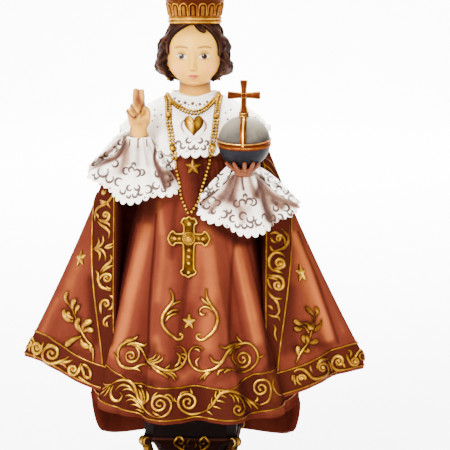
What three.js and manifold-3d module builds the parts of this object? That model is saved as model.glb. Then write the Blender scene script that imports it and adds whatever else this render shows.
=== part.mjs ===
// A child figure in a wide robe and cape, cast in resin, with a crown, an orb and a scrolled pedestal.
// Millimetres, +Z up, the viewer looks along +Y. The origin is the middle of the pedestal's underside.
import * as THREE from "three";
import { mergeVertices } from "three/addons/utils/BufferGeometryUtils.js";
import Module from "manifold-3d";

const wasm = await Module();
wasm.setup();

// Driving dimensions
const figureHeight = 200; // from the figure's seat to the flat that carries the crown
const pedestalHeight = 57.7;
const pedestalHalfWidth = 25.4; // of the block under the robe
const pedestalHalfDepth = 21;
const plinthHalfWidth = 41;
const plinthHalfDepth = 34;
const plinthThickness = 3.5;
const bracketThickness = 6;
const orbRadius = 13.5;
const orbBandWidth = 4.2;
const orbBandRise = 0.7;
const orbCrossHeight = 18.4;
const orbCrossSpan = 16.4;
const orbCrossThickness = 2.2;
const crownBandRadius = 13.9;
const crownBandHeight = 3.4;
const crownHeight = 47; // from the band's underside to the tip of its cross
const petalCount = 18;
const fleuronCount = 9;
const fitGap = 0.3; // between pieces that are glued or stand on each other

// The figure is drawn in 200 parts of its own height, and its mesh is scaled to figureHeight.
const canon = 200;
const part = figureHeight / canon;
const crownSeat = canon;
const orbCentre = new THREE.Vector3(30, -46, 141.5); // in parts
const orbTilt = 0.12;

const degree = Math.PI / 180;
const point = (x, y, z) => new THREE.Vector3(x, y, z);
const mix = THREE.MathUtils.lerp;
const smooth = THREE.MathUtils.smoothstep;
const bell = (x, centre, width) => Math.exp(-(((x - centre) / width) ** 2));

// Solids

// A closed geometry as a manifold that can be joined and cut, with its faces turned outwards.
function solid(geometry) {
  const bare = geometry.clone();
  bare.deleteAttribute("normal");
  bare.deleteAttribute("uv");
  const merged = mergeVertices(bare, 1e-4);
  const vertProperties = new Float32Array(merged.getAttribute("position").array);
  const triVerts = new Uint32Array(merged.getIndex().array);
  const made = new wasm.Manifold(new wasm.Mesh({ numProp: 3, vertProperties, triVerts }));
  if (made.volume() > 0) return made;
  const turned = new Uint32Array(triVerts).reverse();
  return new wasm.Manifold(new wasm.Mesh({ numProp: 3, vertProperties, triVerts: turned }));
}

const join = (solids) => solids.reduce((whole, next) => whole.add(next));

function meshOf(name, made, material) {
  const data = made.getMesh();
  const positions = new Float32Array(data.numVert * 3);
  for (let i = 0; i < data.numVert; i++) {
    const start = i * data.numProp;
    positions.set(data.vertProperties.subarray(start, start + 3), i * 3);
  }
  const geometry = new THREE.BufferGeometry();
  geometry.setAttribute("position", new THREE.BufferAttribute(positions, 3));
  geometry.setIndex(new THREE.BufferAttribute(data.triVerts, 1));
  geometry.computeVertexNormals();
  const mesh = new THREE.Mesh(geometry, material);
  mesh.name = name;
  return mesh;
}

// A skin over rings that all have as many points, closed by a fan at each end.
function skin(rings) {
  const count = rings[0].length;
  const points = rings.flat();
  const middle = (ring) =>
    ring.reduce((sum, p) => sum.add(p), point(0, 0, 0)).divideScalar(ring.length);
  const first = points.push(middle(rings[0])) - 1;
  const last = points.push(middle(rings.at(-1))) - 1;
  const faces = [];
  for (let r = 0; r < rings.length - 1; r++) {
    for (let k = 0; k < count; k++) {
      const a = r * count + k;
      const b = r * count + ((k + 1) % count);
      faces.push(a, b, b + count, a, b + count, a + count);
    }
  }
  const end = (rings.length - 1) * count;
  for (let k = 0; k < count; k++) {
    const next = (k + 1) % count;
    faces.push(first, next, k);
    faces.push(last, end + k, end + next);
  }
  const geometry = new THREE.BufferGeometry().setFromPoints(points);
  geometry.setIndex(faces);
  return solid(geometry);
}

// A ring of points given by a function of the angle, which is 0 at the front and grows towards +X.
function ring(count, at) {
  return Array.from({ length: count }, (_, k) => at(-Math.PI + (2 * Math.PI * k) / count));
}

const steps = (count, at) => Array.from({ length: count + 1 }, (_, k) => at(k / count));

// A round limb, lock or stem along a curve, with a radius for each share of its length and round ends.
function limb(points, radiusAt, { sides = 5, stations = 4 } = {}) {
  const curve = new THREE.CatmullRomCurve3(points, false, "centripetal");
  const frames = curve.computeFrenetFrames(stations, false);
  const rings = [];
  const addRing = (centre, normal, binormal, radius) =>
    rings.push(
      ring(sides, (angle) =>
        centre
          .clone()
          .addScaledVector(normal, Math.cos(angle) * radius)
          .addScaledVector(binormal, Math.sin(angle) * radius),
      ),
    );
  const endShare = 0.55;
  for (let k = 0; k <= stations; k++) {
    const share = k / stations;
    const centre = curve.getPointAt(share);
    const tangent = frames.tangents[k];
    const radius = radiusAt(share);
    if (k === 0) {
      const tip = centre.clone().addScaledVector(tangent, -radius * endShare);
      addRing(tip, frames.normals[k], frames.binormals[k], radius * endShare);
    }
    addRing(centre, frames.normals[k], frames.binormals[k], radius);
    if (k === stations) {
      const tip = centre.clone().addScaledVector(tangent, radius * endShare);
      addRing(tip, frames.normals[k], frames.binormals[k], radius * endShare);
    }
  }
  return skin(rings);
}

function ellipsoid(centre, radii, across = 14, up = 9) {
  const geometry = new THREE.SphereGeometry(1, across, up);
  geometry.rotateX(Math.PI / 2);
  geometry.scale(radii.x, radii.y, radii.z);
  geometry.translate(centre.x, centre.y, centre.z);
  return solid(geometry);
}

function extruded(shape, depth, place = () => {}) {
  const geometry = new THREE.ExtrudeGeometry(shape, {
    depth,
    bevelEnabled: false,
    curveSegments: 4,
  });
  place(geometry);
  return solid(geometry);
}

function block(low, high) {
  const size = high.clone().sub(low);
  const geometry = new THREE.BoxGeometry(size.x, size.y, size.z);
  const middle = low.clone().add(high).multiplyScalar(0.5);
  geometry.translate(middle.x, middle.y, middle.z);
  return solid(geometry);
}

// The tunic, a bell with folds that fan out from the breast

const tunicTop = 142;
const tunicFolds = [
  // angle at the top and at the hem, spread and rise at the hem
  { top: -54, hem: -52, spread: 9, rise: 3.4 },
  { top: -39, hem: -28, spread: 6, rise: -3.6 },
  { top: -27, hem: -14, spread: 8, rise: 3.4 },
  { top: -10, hem: 4, spread: 8, rise: -3.8 },
  { top: 9, hem: 22, spread: 9, rise: 3.6 },
  { top: 25, hem: 36, spread: 6, rise: -3.4 },
  { top: 46, hem: 51, spread: 9, rise: 3.6 },
  { top: -128, hem: -131, spread: 13, rise: 5 },
  { top: 128, hem: 131, spread: 13, rise: 5 },
  { top: -156, hem: -157, spread: 9, rise: -3.5 },
  { top: 156, hem: 157, spread: 9, rise: -3.5 },
];

function foldRise(folds, angle, share) {
  const turn = angle / degree;
  const rises = folds.map((fold) => {
    const middle = mix(fold.top, fold.hem, share);
    return fold.rise * bell(turn, middle, fold.spread) * smooth(share, 0.05, 1);
  });
  return rises.reduce((sum, rise) => sum + rise, 0);
}

function tunicHem(angle) {
  const turn = Math.abs(angle) / degree;
  const train = 25.5 * smooth(turn, 80, 118) + 5.5 * bell(turn, 134, 17);
  const wave = 1.6 * bell(angle / degree, 7, 9);
  return mix(-4.6, -1.5, Math.sin(angle) ** 2) + wave - train;
}

function tunicAt(angle, share, inset = 0) {
  const middle = mix(-4, 12, share);
  const halfWidth = mix(21, 58, share);
  const front = mix(28.5, 64, share);
  const back = mix(26, 34, share);
  const turn = Math.abs(angle) / degree;
  const tuck = 3 * smooth(turn, 82, 100) * smooth(share, 0.85, 1) ** 2;
  const rise = foldRise(tunicFolds, angle, share) - inset - tuck;
  const depth = Math.cos(angle) > 0 ? front : back;
  return point(
    mix(1.5, 1, share) + (halfWidth + rise) * Math.sin(angle),
    middle - (depth + rise) * Math.cos(angle),
    mix(tunicTop, tunicHem(angle), share),
  );
}

// The underside is open between the hem and the flat that stands on the pedestal.
function tunic() {
  const count = 44;
  const wall = 4;
  const hemRoll = 1.4;
  const rings = steps(5, (share) => ring(count, (angle) => tunicAt(angle, share)));
  rings.push(
    ring(count, (angle) => {
      const p = tunicAt(angle, 1, hemRoll);
      return p.setZ(p.z - hemRoll);
    }),
    ring(count, (angle) => tunicAt(angle, 1, wall)),
    ring(count, (angle) => {
      const p = tunicAt(angle, 0.95, wall + 3);
      return p.setZ(0);
    }),
  );
  return skin(rings);
}

// The cape, open at the front, with its corners swept out to both sides

const capeTop = 145;
const capeEdge = 39.5; // half the opening at the front

function capeHalfWidth(z) {
  const drop = (132 - z) / 115;
  if (drop < 0) return 41.8 + 34 * drop;
  return 41.8 + 45 * drop + 8 * drop * drop;
}

function capeHem(share) {
  const side = Math.abs(share);
  const lift = 15 * bell(side, 0.62, 0.26);
  return 2 + lift + 2.6 * bell(side, 1, 0.2);
}

// share runs from -1 at the left front edge, over 0 at the middle of the back, to 1 at the right one.
function capeAt(share, fall) {
  const side = Math.abs(share);
  const sign = Math.sign(share) || 1;
  const z = mix(capeTop, capeHem(share), fall);
  const halfWidth = capeHalfWidth(z);
  const cornerY = mix(-2, 8, fall);
  const back = mix(24, 52, fall);
  const corner = 0.62;
  const backFolds = 2.4 * fall * Math.cos(share * 24);
  if (side <= corner) {
    const turn = (side / corner) * 90 * degree;
    const rise = backFolds * Math.cos(turn);
    return point(
      sign * (halfWidth + 0.4 * rise) * Math.sin(turn),
      cornerY + (back + rise - cornerY) * Math.cos(turn),
      z,
    );
  }
  const reach = (side - corner) / (1 - corner);
  const edgeY = mix(-10, -21, smooth(fall, 0, 0.7));
  const bulge = mix(1.5, 5, fall) * Math.sin(Math.PI * reach);
  const crease = sign > 0 ? -4 : 2;
  const fold = crease * fall * bell(reach, 0.3, 0.09) + 1.5 * fall * bell(reach, 0.55, 0.12);
  return point(
    sign * mix(halfWidth, capeEdge - 6 * (1 - smooth(fall, 0, 0.2)), reach),
    mix(cornerY, edgeY, reach) - bulge - fold,
    z,
  );
}

function cape() {
  const count = 30;
  const section = (fall) => {
    const outline = steps(count, (k) => capeAt(mix(-1, 1, k), fall));
    const z = mix(capeTop, 6, fall);
    const inside = [
      [capeEdge - 2.5, mix(-2, -9, fall)],
      [capeEdge - 9, 2],
      [9 - capeEdge, 2],
      [2.5 - capeEdge, mix(-2, -9, fall)],
    ];
    return [...outline, ...inside.map(([x, y]) => point(x, y, z))];
  };
  return skin(steps(5, section));
}

// The lace collar that lies over the shoulders

function shoulderAt(angle, share) {
  const side = Math.sin(angle) ** 2;
  const profile = (radii, heights) => {
    const place = share * (radii.length - 1);
    const low = Math.min(Math.floor(place), radii.length - 2);
    return [
      mix(radii[low], radii[low + 1], place - low),
      mix(heights[low], heights[low + 1], place - low),
    ];
  };
  const [sideRadius, sideHeight] = profile([11.5, 20, 28, 35, 40.5], [164, 160.5, 156, 151, 144.5]);
  const [frontRadius, frontHeight] =
    Math.cos(angle) > 0
      ? profile([11.5, 21, 27, 31, 33.5], [162, 157, 150, 141, 132.7])
      : profile([11.5, 20, 26, 30, 33], [163, 159, 151, 141, 131]);
  return point(
    1.8 + sideRadius * Math.sin(angle),
    -1 - frontRadius * Math.cos(angle),
    mix(frontHeight, sideHeight, side),
  );
}

function collar() {
  const count = 22;
  const rings = steps(3, (share) => ring(count, (angle) => shoulderAt(angle, share)));
  const lip = (scale, drop) =>
    ring(count, (angle) => {
      const p = shoulderAt(angle, 1);
      return point(1.8 + (p.x - 1.8) * scale, p.y * scale, p.z + drop);
    });
  rings.push(lip(0.985, -1.2), lip(0.9, 0.5), lip(0.5, 0));
  return skin(rings);
}

function neckFrill() {
  const frill = (radius, z, slope) =>
    ring(16, (angle) =>
      point(1.8 + radius * 1.1 * Math.sin(angle), -1 - radius * Math.cos(angle), z - slope * Math.cos(angle)),
    );
  return skin([
    frill(9, 157.5, 3),
    frill(15.5, 158.6, 3),
    frill(12.6, 163, 2.8),
    frill(10.4, 164, 2.6),
    frill(8.8, 163.4, 2.6),
  ]);
}

// Sleeves: an open bell from the elbow, and inside it a gathered cuff that falls from the wrist

const sleeves = {
  right: {
    elbow: point(-32, 3, 134),
    elbowRadius: 11.5,
    rim: [
      point(-25.5, -29, 147.5),
      point(-40, -26, 137.5),
      point(-53.4, -21, 125),
      point(-45, -29, 117),
      point(-28, -36, 113),
      point(-12, -36, 115),
      point(-3.8, -33, 120),
      point(-13, -32, 134),
    ],
    wrist: point(-25, -36.5, 143),
    wristRadius: 6.4,
    hemMiddle: point(-28.7, -27.5, 122),
    hemSide: point(24.4, -5.5, -2.3),
    hemFront: point(0, -17.5, -11),
    foldTurn: 0.5,
  },
  left: {
    elbow: point(34, 2, 113),
    elbowRadius: 12,
    rim: [
      point(29.5, -33, 126.5),
      point(17, -36, 119),
      point(5.6, -37, 108),
      point(15, -41, 101),
      point(31, -40, 97),
      point(48, -35, 100),
      point(57.6, -22, 108),
      point(43, -28, 120),
    ],
    wrist: point(30, -43, 124),
    wristRadius: 6.8,
    hemMiddle: point(31.6, -30, 108.2),
    hemSide: point(25.8, 8, 0),
    hemFront: point(0, -19, -13.6),
    foldTurn: -0.4,
  },
};

function sleeveBell(sleeve) {
  const count = 16;
  const rim = new THREE.CatmullRomCurve3(sleeve.rim, true, "centripetal").getSpacedPoints(count).slice(0, count);
  const middle = rim.reduce((sum, p) => sum.add(p), point(0, 0, 0)).divideScalar(count);
  const toElbow = (share, width) =>
    rim.map((p) => {
      const away = p.clone().sub(middle);
      const round = away.clone().setLength(sleeve.elbowRadius);
      const centre = middle.clone().lerp(sleeve.elbow, share);
      return centre.add(away.lerp(round, share).multiplyScalar(width));
    });
  const inward = (scale, depth) =>
    rim.map((p) => {
      const away = p.clone().sub(middle).multiplyScalar(scale);
      return middle.clone().lerp(sleeve.elbow, depth).add(away);
    });
  return skin([toElbow(1, 0.9), toElbow(0.5, 1.07), rim, inward(0.9, 0.05), inward(0.62, 0.42)]);
}

function cuffAt(sleeve, angle, share) {
  const start = sleeve.wrist
    .clone()
    .add(point(Math.sin(angle), -Math.cos(angle) * 0.85, 0).multiplyScalar(sleeve.wristRadius));
  const forward = Math.cos(angle) > 0 ? Math.cos(angle) : Math.cos(angle) * 0.25;
  const flare = Math.sign(Math.sin(angle)) * Math.abs(Math.sin(angle)) ** 0.9;
  const end = sleeve.hemMiddle
    .clone()
    .addScaledVector(sleeve.hemSide, flare)
    .addScaledVector(sleeve.hemFront, forward);
  const at = start.clone().lerp(end, share);
  const spread = share ** 1.35;
  at.x = mix(start.x, end.x, spread);
  at.y = mix(start.y, end.y, share ** 0.9);
  const front = smooth(Math.cos(angle), -0.2, 0.3);
  const gather = 2.4 * spread * Math.cos(5 * angle + sleeve.foldTurn) + 1.2 * Math.sin(Math.PI * share);
  const drop = 2 * spread * Math.cos(5 * angle + sleeve.foldTurn);
  at.x += front * gather * Math.sin(angle);
  at.y -= front * gather * Math.cos(angle);
  at.z -= front * drop * Math.cos(angle) ** 2;
  return at;
}

function cuff(sleeve) {
  const count = 24;
  const rings = steps(3, (share) => ring(count, (angle) => cuffAt(sleeve, angle, share)));
  rings.push(
    ring(count, (angle) => {
      const p = cuffAt(sleeve, angle, 1);
      return p.lerp(sleeve.hemMiddle, 0.12).setZ(p.z + 0.4);
    }),
    ring(count, (angle) => cuffAt(sleeve, angle, 0.8).lerp(sleeve.hemMiddle, 0.35)),
  );
  return skin(rings);
}

// Head, hair and hands

const headCentre = point(1.8, -1, 184.5);

// A calm child's head on schoolbook proportions: eyes at the middle of its height, wide cheeks, small chin.
function headRadii(height) {
  const jaw = smooth(-height, 0.25, 1);
  const cheek = bell(height, -0.38, 0.3);
  return { width: 15.4 * (1 - 0.12 * jaw) + 0.7 * cheek, front: 16 + 0.5 * cheek, back: 16.5 };
}

function headAt(angle, height) {
  const radii = headRadii(height);
  const level = height > 0 ? (1 - height ** 2.6) ** 0.45 : (1 - height * height) ** 0.44;
  const front = Math.cos(angle) > 0;
  const side = angle / degree;
  const nose = 2.6 * bell(side, 0, 9) * bell(height, -0.34, 0.14) + 1.2 * bell(side, 0, 8) * bell(height, -0.12, 0.2);
  const sockets = -1.1 * (bell(side, -25, 11) + bell(side, 25, 11)) * bell(height, -0.04, 0.12);
  const lips = 1 * bell(side, 0, 14) * bell(height, -0.64, 0.09);
  const chin = 1.6 * bell(side, 0, 22) * bell(height, -0.9, 0.12);
  const relief = front ? nose + sockets + lips + chin : 0;
  const depth = (front ? radii.front : radii.back) + relief;
  return point(
    headCentre.x + radii.width * level * Math.sin(angle),
    headCentre.y - depth * level * Math.cos(angle),
    headCentre.z + 17.8 * height,
  );
}

function head() {
  const rings = [];
  const count = 10;
  for (let k = 0; k < count; k++) {
    const height = Math.sin(mix(-82, 50, k / (count - 1)) * degree);
    rings.push(ring(16, (angle) => headAt(angle, height)));
  }
  return skin(rings);
}

function neck() {
  return limb([point(1.5, 1.5, 150), point(1.8, 0.5, 172)], (share) => mix(9.6, 8.2, share), { sides: 8, stations: 1 });
}

// The hair is one mass of wavy locks: flat under the crown, full over the ears, drawn in at the neck.
const hairFall = [
  // height, half width, reach of the back
  [202, 14.2, 15.4],
  [194, 16.6, 18],
  [185, 18.4, 18.8],
  [178.6, 20.2, 18.2],
  [174, 19, 16.8],
  [171, 15.4, 14],
  [169.6, 9, 9],
];
const lockCount = 9;
const lockRise = 1.2;

function hairAt(angle, level) {
  const [z, halfWidth, back] = hairFall[level];
  const turn = Math.abs(angle) / degree;
  const sway = 7 * Math.sin(z * 0.42);
  const locks = lockRise * Math.cos(lockCount * (turn + sway) * degree) * smooth(turn, 55, 66);
  const behindFace = 1 - smooth(turn, 50, 62) * (1 - 0.35 * bell(z, 202, 4));
  const width = halfWidth + locks;
  const depth = turn < 90 ? 15 + locks : back + locks;
  const full = point(headCentre.x + width * Math.sin(angle), 1 - depth * Math.cos(angle), z);
  const hidden = point(headCentre.x + 8 * Math.sin(angle), 1 - 7 * Math.cos(angle), z);
  return full.lerp(hidden, behindFace);
}

function hair() {
  const mass = skin(hairFall.map((_, level) => ring(26, (angle) => hairAt(angle, level))));
  const crownOfHead = ellipsoid(point(headCentre.x, 1, 189), point(15.8, 16.6, 16), 12, 6);
  const onForehead = ([turn, height]) => headAt(turn * degree, height);
  const fringe = [
    [[4, 0.86], [-24, 0.78], [-50, 0.55], [-72, 0.2]],
    [[8, 0.86], [18, 0.72], [24, 0.56]],
    [[20, 0.86], [44, 0.66], [64, 0.36], [80, 0.02]],
  ].map((path) =>
    limb(path.map(onForehead), (share) => mix(2.6, 1.8, share), { sides: 6, stations: 3 }));
  return join([mass, crownOfHead, ...fringe]);
}

// The right hand blesses: two fingers up, two folded down, the thumb beside them.
function rightHand() {
  const straight = (share) => mix(2, 1.7, share);
  const folded = (share) => mix(2, 1.75, share);
  const parts = [
    limb([point(-24.6, -36, 139), point(-25, -37.5, 148)], (share) => mix(5.4, 5.3, share), { sides: 8, stations: 1 }),
    ellipsoid(point(-25.2, -38, 151.5), point(6.2, 3.9, 6.4), 10, 6),
    limb([point(-26.2, -38.4, 155), point(-26.9, -38.8, 161), point(-26.8, -37.9, 165.8)], straight, { stations: 2 }),
    limb([point(-23, -38.4, 155), point(-23.4, -38.8, 161), point(-23.6, -37.9, 165.6)], straight, { stations: 2 }),
    limb([point(-28.4, -39, 156.4), point(-28.6, -43, 157.6), point(-26.4, -44, 153.6)], folded, { stations: 3 }),
    limb([point(-30.4, -38.2, 153.6), point(-31, -42, 155), point(-28.9, -43.4, 151.2)], folded, { stations: 3 }),
    limb([point(-20.6, -38, 149), point(-19.4, -41, 154.5), point(-22.8, -43.2, 158)], (share) => mix(2.5, 1.8, share), { stations: 3 }),
  ];
  return join(parts);
}

// The left hand carries the orb on its spread fingers.
function leftHand() {
  const wrist = limb([point(30.5, -38, 116), point(30, -43, 123)], (share) => mix(6, 5.4, share), { sides: 8, stations: 1 });
  const palm = ellipsoid(point(30, -45, 125.4), point(6.4, 6, 4), 10, 6);
  const spread = [-88, -46, -3, 40, 84];
  const fingers = spread.map((turn) => {
    const around = (radius, z) =>
      point(orbCentre.x + radius * Math.sin(turn * degree), orbCentre.y - radius * Math.cos(turn * degree), z);
    return limb([around(2, 124.4), around(6.6, 126.4), around(9.6, 129.6), around(11, 132.6)], (share) => mix(2, 1.5, share), { stations: 2 });
  });
  const room = ellipsoid(orbCentre, point(1, 1, 1).multiplyScalar((orbRadius + fitGap + 0.5) / part), 14, 8);
  return join([wrist, palm, ...fingers]).subtract(room);
}

// Things worn on the breast, laid on the surface behind them. The fine bead chains are left to the visual model.

function surfaceOf(made) {
  const mesh = meshOf("surface", made, new THREE.MeshBasicMaterial({ side: THREE.DoubleSide }));
  const caster = new THREE.Raycaster();
  return (x, z) => {
    caster.set(point(x, -200, z), point(0, 1, 0));
    return caster.intersectObject(mesh)[0].point;
  };
}

// The hanging cross has flared arms and a round boss.
function breastCross(front) {
  const [x, top, bottom, middle] = [1.4, 102.2, 71, 91];
  const [half, flare, arm] = [2.6, 4.1, 11];
  const shape = new THREE.Shape();
  const outline = [
    [0, top], [flare, top - 3.4], [half, top - 5.2], [half, middle + half], [arm - 3, middle + half],
    [arm - 2, middle + flare + 0.8], [arm, middle], [arm - 2, middle - flare - 0.8], [arm - 3, middle - half],
    [half, middle - half], [half, bottom + 5.2], [flare, bottom + 3], [0, bottom],
  ];
  const mirrored = outline.slice(1, -1).reverse().map(([u, v]) => [-u, v]);
  [...outline, ...mirrored].forEach(([u, v], k) => (k ? shape.lineTo(u, v) : shape.moveTo(u, v)));
  const lean = Math.atan2(front(x, bottom).y - front(x, top).y, top - bottom);
  const heights = [bottom, mix(bottom, middle, 0.5), middle, mix(middle, top, 0.5), top];
  const reach = heights.map((z) => Math.min(front(x - 4, z).y, front(x, z).y, front(x + 4, z).y) - (middle - z) * Math.tan(lean));
  const cloth = Math.min(...reach);
  const stand = (geometry) => {
    geometry.translate(0, -middle, 0);
    geometry.rotateX(Math.PI / 2 + lean);
    geometry.translate(x, cloth + 1.8, middle);
  };
  const boss = ellipsoid(point(x, cloth - 1.2, middle), point(3.3, 2, 3.3), 8, 5);
  return [extruded(shape, 4, stand), boss];
}

function heart(front) {
  const [width, height] = [4.9, 5];
  const shape = new THREE.Shape();
  shape.moveTo(0, -height);
  shape.bezierCurveTo(width * 0.6, -height * 0.5, width * 1.15, height * 0.1, width, height * 0.55);
  shape.bezierCurveTo(width * 0.8, height * 1.15, width * 0.2, height, 0, height * 0.55);
  shape.bezierCurveTo(-width * 0.2, height, -width * 0.8, height * 1.15, -width, height * 0.55);
  shape.bezierCurveTo(-width * 1.15, height * 0.1, -width * 0.6, -height * 0.5, 0, -height);
  const middle = front(3, 147.5);
  return extruded(shape, 3.6, (geometry) => {
    geometry.rotateX(Math.PI / 2 - 0.35);
    geometry.translate(middle.x, middle.y + 1.2, middle.z);
  });
}

function star(front, x, z, radius) {
  const shape = new THREE.Shape();
  for (let k = 0; k < 10; k++) {
    const reach = k % 2 ? radius * 0.42 : radius;
    const angle = (k * Math.PI) / 5;
    const corner = [reach * Math.sin(angle), reach * Math.cos(angle)];
    if (k) shape.lineTo(...corner);
    else shape.moveTo(...corner);
  }
  const lean = 0.16;
  const middle = front(x, z);
  const turn = Math.atan2(front(x + 1, z).y - front(x - 1, z).y, 2);
  return extruded(shape, 3, (geometry) => {
    geometry.rotateX(Math.PI / 2 - lean);
    geometry.rotateZ(turn);
    geometry.translate(middle.x, middle.y + 1.5, middle.z);
  });
}

function figure() {
  const dress = join([tunic(), cape(), collar()]);
  const arms = Object.values(sleeves).flatMap((sleeve) => [sleeveBell(sleeve), cuff(sleeve)]);
  const front = surfaceOf(dress);
  const worn = [
    ...breastCross(front),
    heart(front),
    star(front, 2.8, 127.4, 4),
  ];
  const person = join([neck(), head(), hair(), rightHand(), leftHand()]);
  const above = block(point(-40, -40, crownSeat), point(40, 40, crownSeat + 30));
  return join([dress, neckFrill(), ...arms, ...worn, person]).subtract(above);
}

// The crown stands on the flat of the head

// How far the crown's wall has flared at a share of its height.
function crownFlare(share) {
  return crownBandRadius * (1 + 0.34 * share ** 1.4);
}

function crown() {
  const wallTop = crownHeight * 0.45;
  const crest = crownHeight * 0.11;
  const capTop = crownHeight * 0.74;
  const wall = 1.6;
  const ringRise = 0.7;
  const petalRise = 1.2;
  const petal = (angle) => Math.abs(Math.cos((petalCount / 2) * angle));
  const peak = (angle) => crest * Math.max(0, Math.cos(fleuronCount * angle)) ** 1.3;
  const round = (angle, radius, z) => point(radius * Math.sin(angle), -radius * Math.cos(angle), z);
  const band = [0, 0.5, 1].map((share) => (angle) =>
    round(angle, crownBandRadius + (share === 0.5 ? ringRise : 0), share * crownBandHeight));
  const petals = [0.2, 0.42].map((share, k) => (angle) =>
    round(
      angle,
      crownFlare(share) + (k === 0 ? petalRise * petal(angle) : 0),
      mix(crownBandHeight, wallTop, share) + (k === 1 ? 1.5 * petal(angle) : 0),
    ));
  const rim = [
    (angle) => round(angle, crownFlare(1) + 0.1 * peak(angle), wallTop + peak(angle)),
    (angle) => round(angle, crownFlare(1) + 0.1 * peak(angle) - wall, wallTop + peak(angle)),
  ];
  const cap = [8, 48].map((lift) => (angle) =>
    round(
      angle,
      (crownFlare(0.9) - wall - 0.6) * Math.cos(lift * degree),
      wallTop - 2 + (capTop - wallTop + 2) * Math.sin(lift * degree),
    ));
  const apex = (angle) => round(angle, 1, capTop);
  const body = skin([...band, ...petals, ...rim, ...cap, apex].map((at) => ring(3 * petalCount, at)));
  const arches = [0, 90, 180, 270].map((turn) => {
    const along = (share) => {
      const lift = share * 90 * degree;
      const radius = (crownFlare(0.9) - wall) * Math.cos(lift);
      return round(turn * degree, radius, wallTop - 2 + (capTop - wallTop + 2.4) * Math.sin(lift));
    };
    return limb([0, 0.33, 0.66, 1].map(along), () => 1.2, { sides: 4, stations: 3 });
  });
  const ballRadius = crownHeight * 0.058;
  const ballSeat = point(0, 0, capTop + ballRadius * 0.5);
  const ball = ellipsoid(ballSeat, point(ballRadius, ballRadius, ballRadius), 8, 6);
  const bar = crownHeight * 0.022;
  const arm = crownHeight * 0.075;
  const armTop = crownHeight - arm * 0.75;
  const post = block(point(-bar, -bar, capTop + ballRadius), point(bar, bar, crownHeight));
  const crossbar = block(point(-arm, -bar * 0.8, armTop - 2 * bar), point(arm, bar * 0.8, armTop));
  return join([body, ...arches, ball, post, crossbar]);
}

// The orb, with a belt, a bow over its top and a cross

function orb() {
  const globe = ellipsoid(point(0, 0, 0), point(orbRadius, orbRadius, orbRadius), 18, 10);
  const belt = (from, to, segments) => {
    const half = orbBandWidth / 2;
    const outer = orbRadius + orbBandRise;
    const inner = orbRadius * 0.8;
    const outline = [[inner, -half], [outer - 0.2, -half], [outer, 0], [outer - 0.2, half], [inner, half], [inner, -half]];
    const profile = outline.map(([radius, z]) => new THREE.Vector2(radius, z));
    const lathe = new THREE.LatheGeometry(profile, segments, from, to);
    lathe.rotateX(Math.PI / 2);
    return lathe;
  };
  const girdle = solid(belt(0, 2 * Math.PI, 20));
  const bowGeometry = belt(0, 2 * Math.PI, 20);
  bowGeometry.rotateY(Math.PI / 2);
  const upperHalf = block(point(-30, -30, 0), point(30, 30, 30));
  const bow = solid(bowGeometry).intersect(upperHalf);
  const knop = ellipsoid(point(0, 0, orbRadius + 0.9), point(2.8, 2.8, 1.5), 10, 6);
  const shape = new THREE.Shape();
  const foot = orbRadius + 1;
  const tip = orbRadius + orbCrossHeight;
  const arm = tip - orbCrossHeight * 0.42;
  const [narrow, wide, span] = [1.25, 1.8, orbCrossSpan / 2];
  const half = [
    [wide * 1.2, foot], [narrow, foot + 4], [narrow, arm - narrow], [span, arm - wide], [span, arm + wide],
    [narrow, arm + narrow], [wide, tip],
  ];
  const whole = [...half, ...half.map(([u, v]) => [-u, v]).reverse()];
  whole.forEach(([u, v], k) => (k ? shape.lineTo(u, v) : shape.moveTo(u, v)));
  const cross = extruded(shape, orbCrossThickness, (geometry) => {
    geometry.rotateX(Math.PI / 2);
    geometry.translate(0, orbCrossThickness / 2, 0);
  });
  return join([globe, girdle, bow, knop, cross]);
}

// The pedestal: a waisted block between mouldings, with a scrolled bracket at each corner

function pedestalRing(halfWidth, halfDepth, z) {
  const cut = 0.2;
  const corners = [
    [1, cut - 1], [1, 1 - cut], [1 - cut, 1], [cut - 1, 1], [-1, 1 - cut], [-1, cut - 1], [cut - 1, -1], [1 - cut, -1],
  ];
  return corners.map(([u, v]) => point(u * halfWidth, v * halfDepth, z));
}

function pedestalBody() {
  const waist = 0.62;
  const rise = pedestalHeight - plinthThickness;
  const levels = [
    // share of the way from the block's size out to the plinth's, and share of the rise
    [1, 0], [1, 0.045], [0.86, 0.07], [0.86, 0.1], [0.4, 0.14],
  ];
  const outer = levels.map(([out, up]) =>
    pedestalRing(
      mix(pedestalHalfWidth, plinthHalfWidth - 1.6, out),
      mix(pedestalHalfDepth, plinthHalfDepth - 1.6, out),
      plinthThickness + up * rise,
    ),
  );
  const inner = [
    // share of the block's size, and share of the rise
    [0.82, 0.19], [waist + 0.02, 0.28], [waist, 0.36], [0.7, 0.48], [0.9, 0.58], [1, 0.62], [1, 0.92], [1.06, 0.94], [1.06, 1],
  ].map(([size, up]) => pedestalRing(pedestalHalfWidth * size, pedestalHalfDepth * size, plinthThickness + up * rise));
  const plinth = [pedestalRing(plinthHalfWidth, plinthHalfDepth, 0), pedestalRing(plinthHalfWidth, plinthHalfDepth, plinthThickness)];
  return skin([...plinth, ...outer, ...inner]);
}

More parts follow.
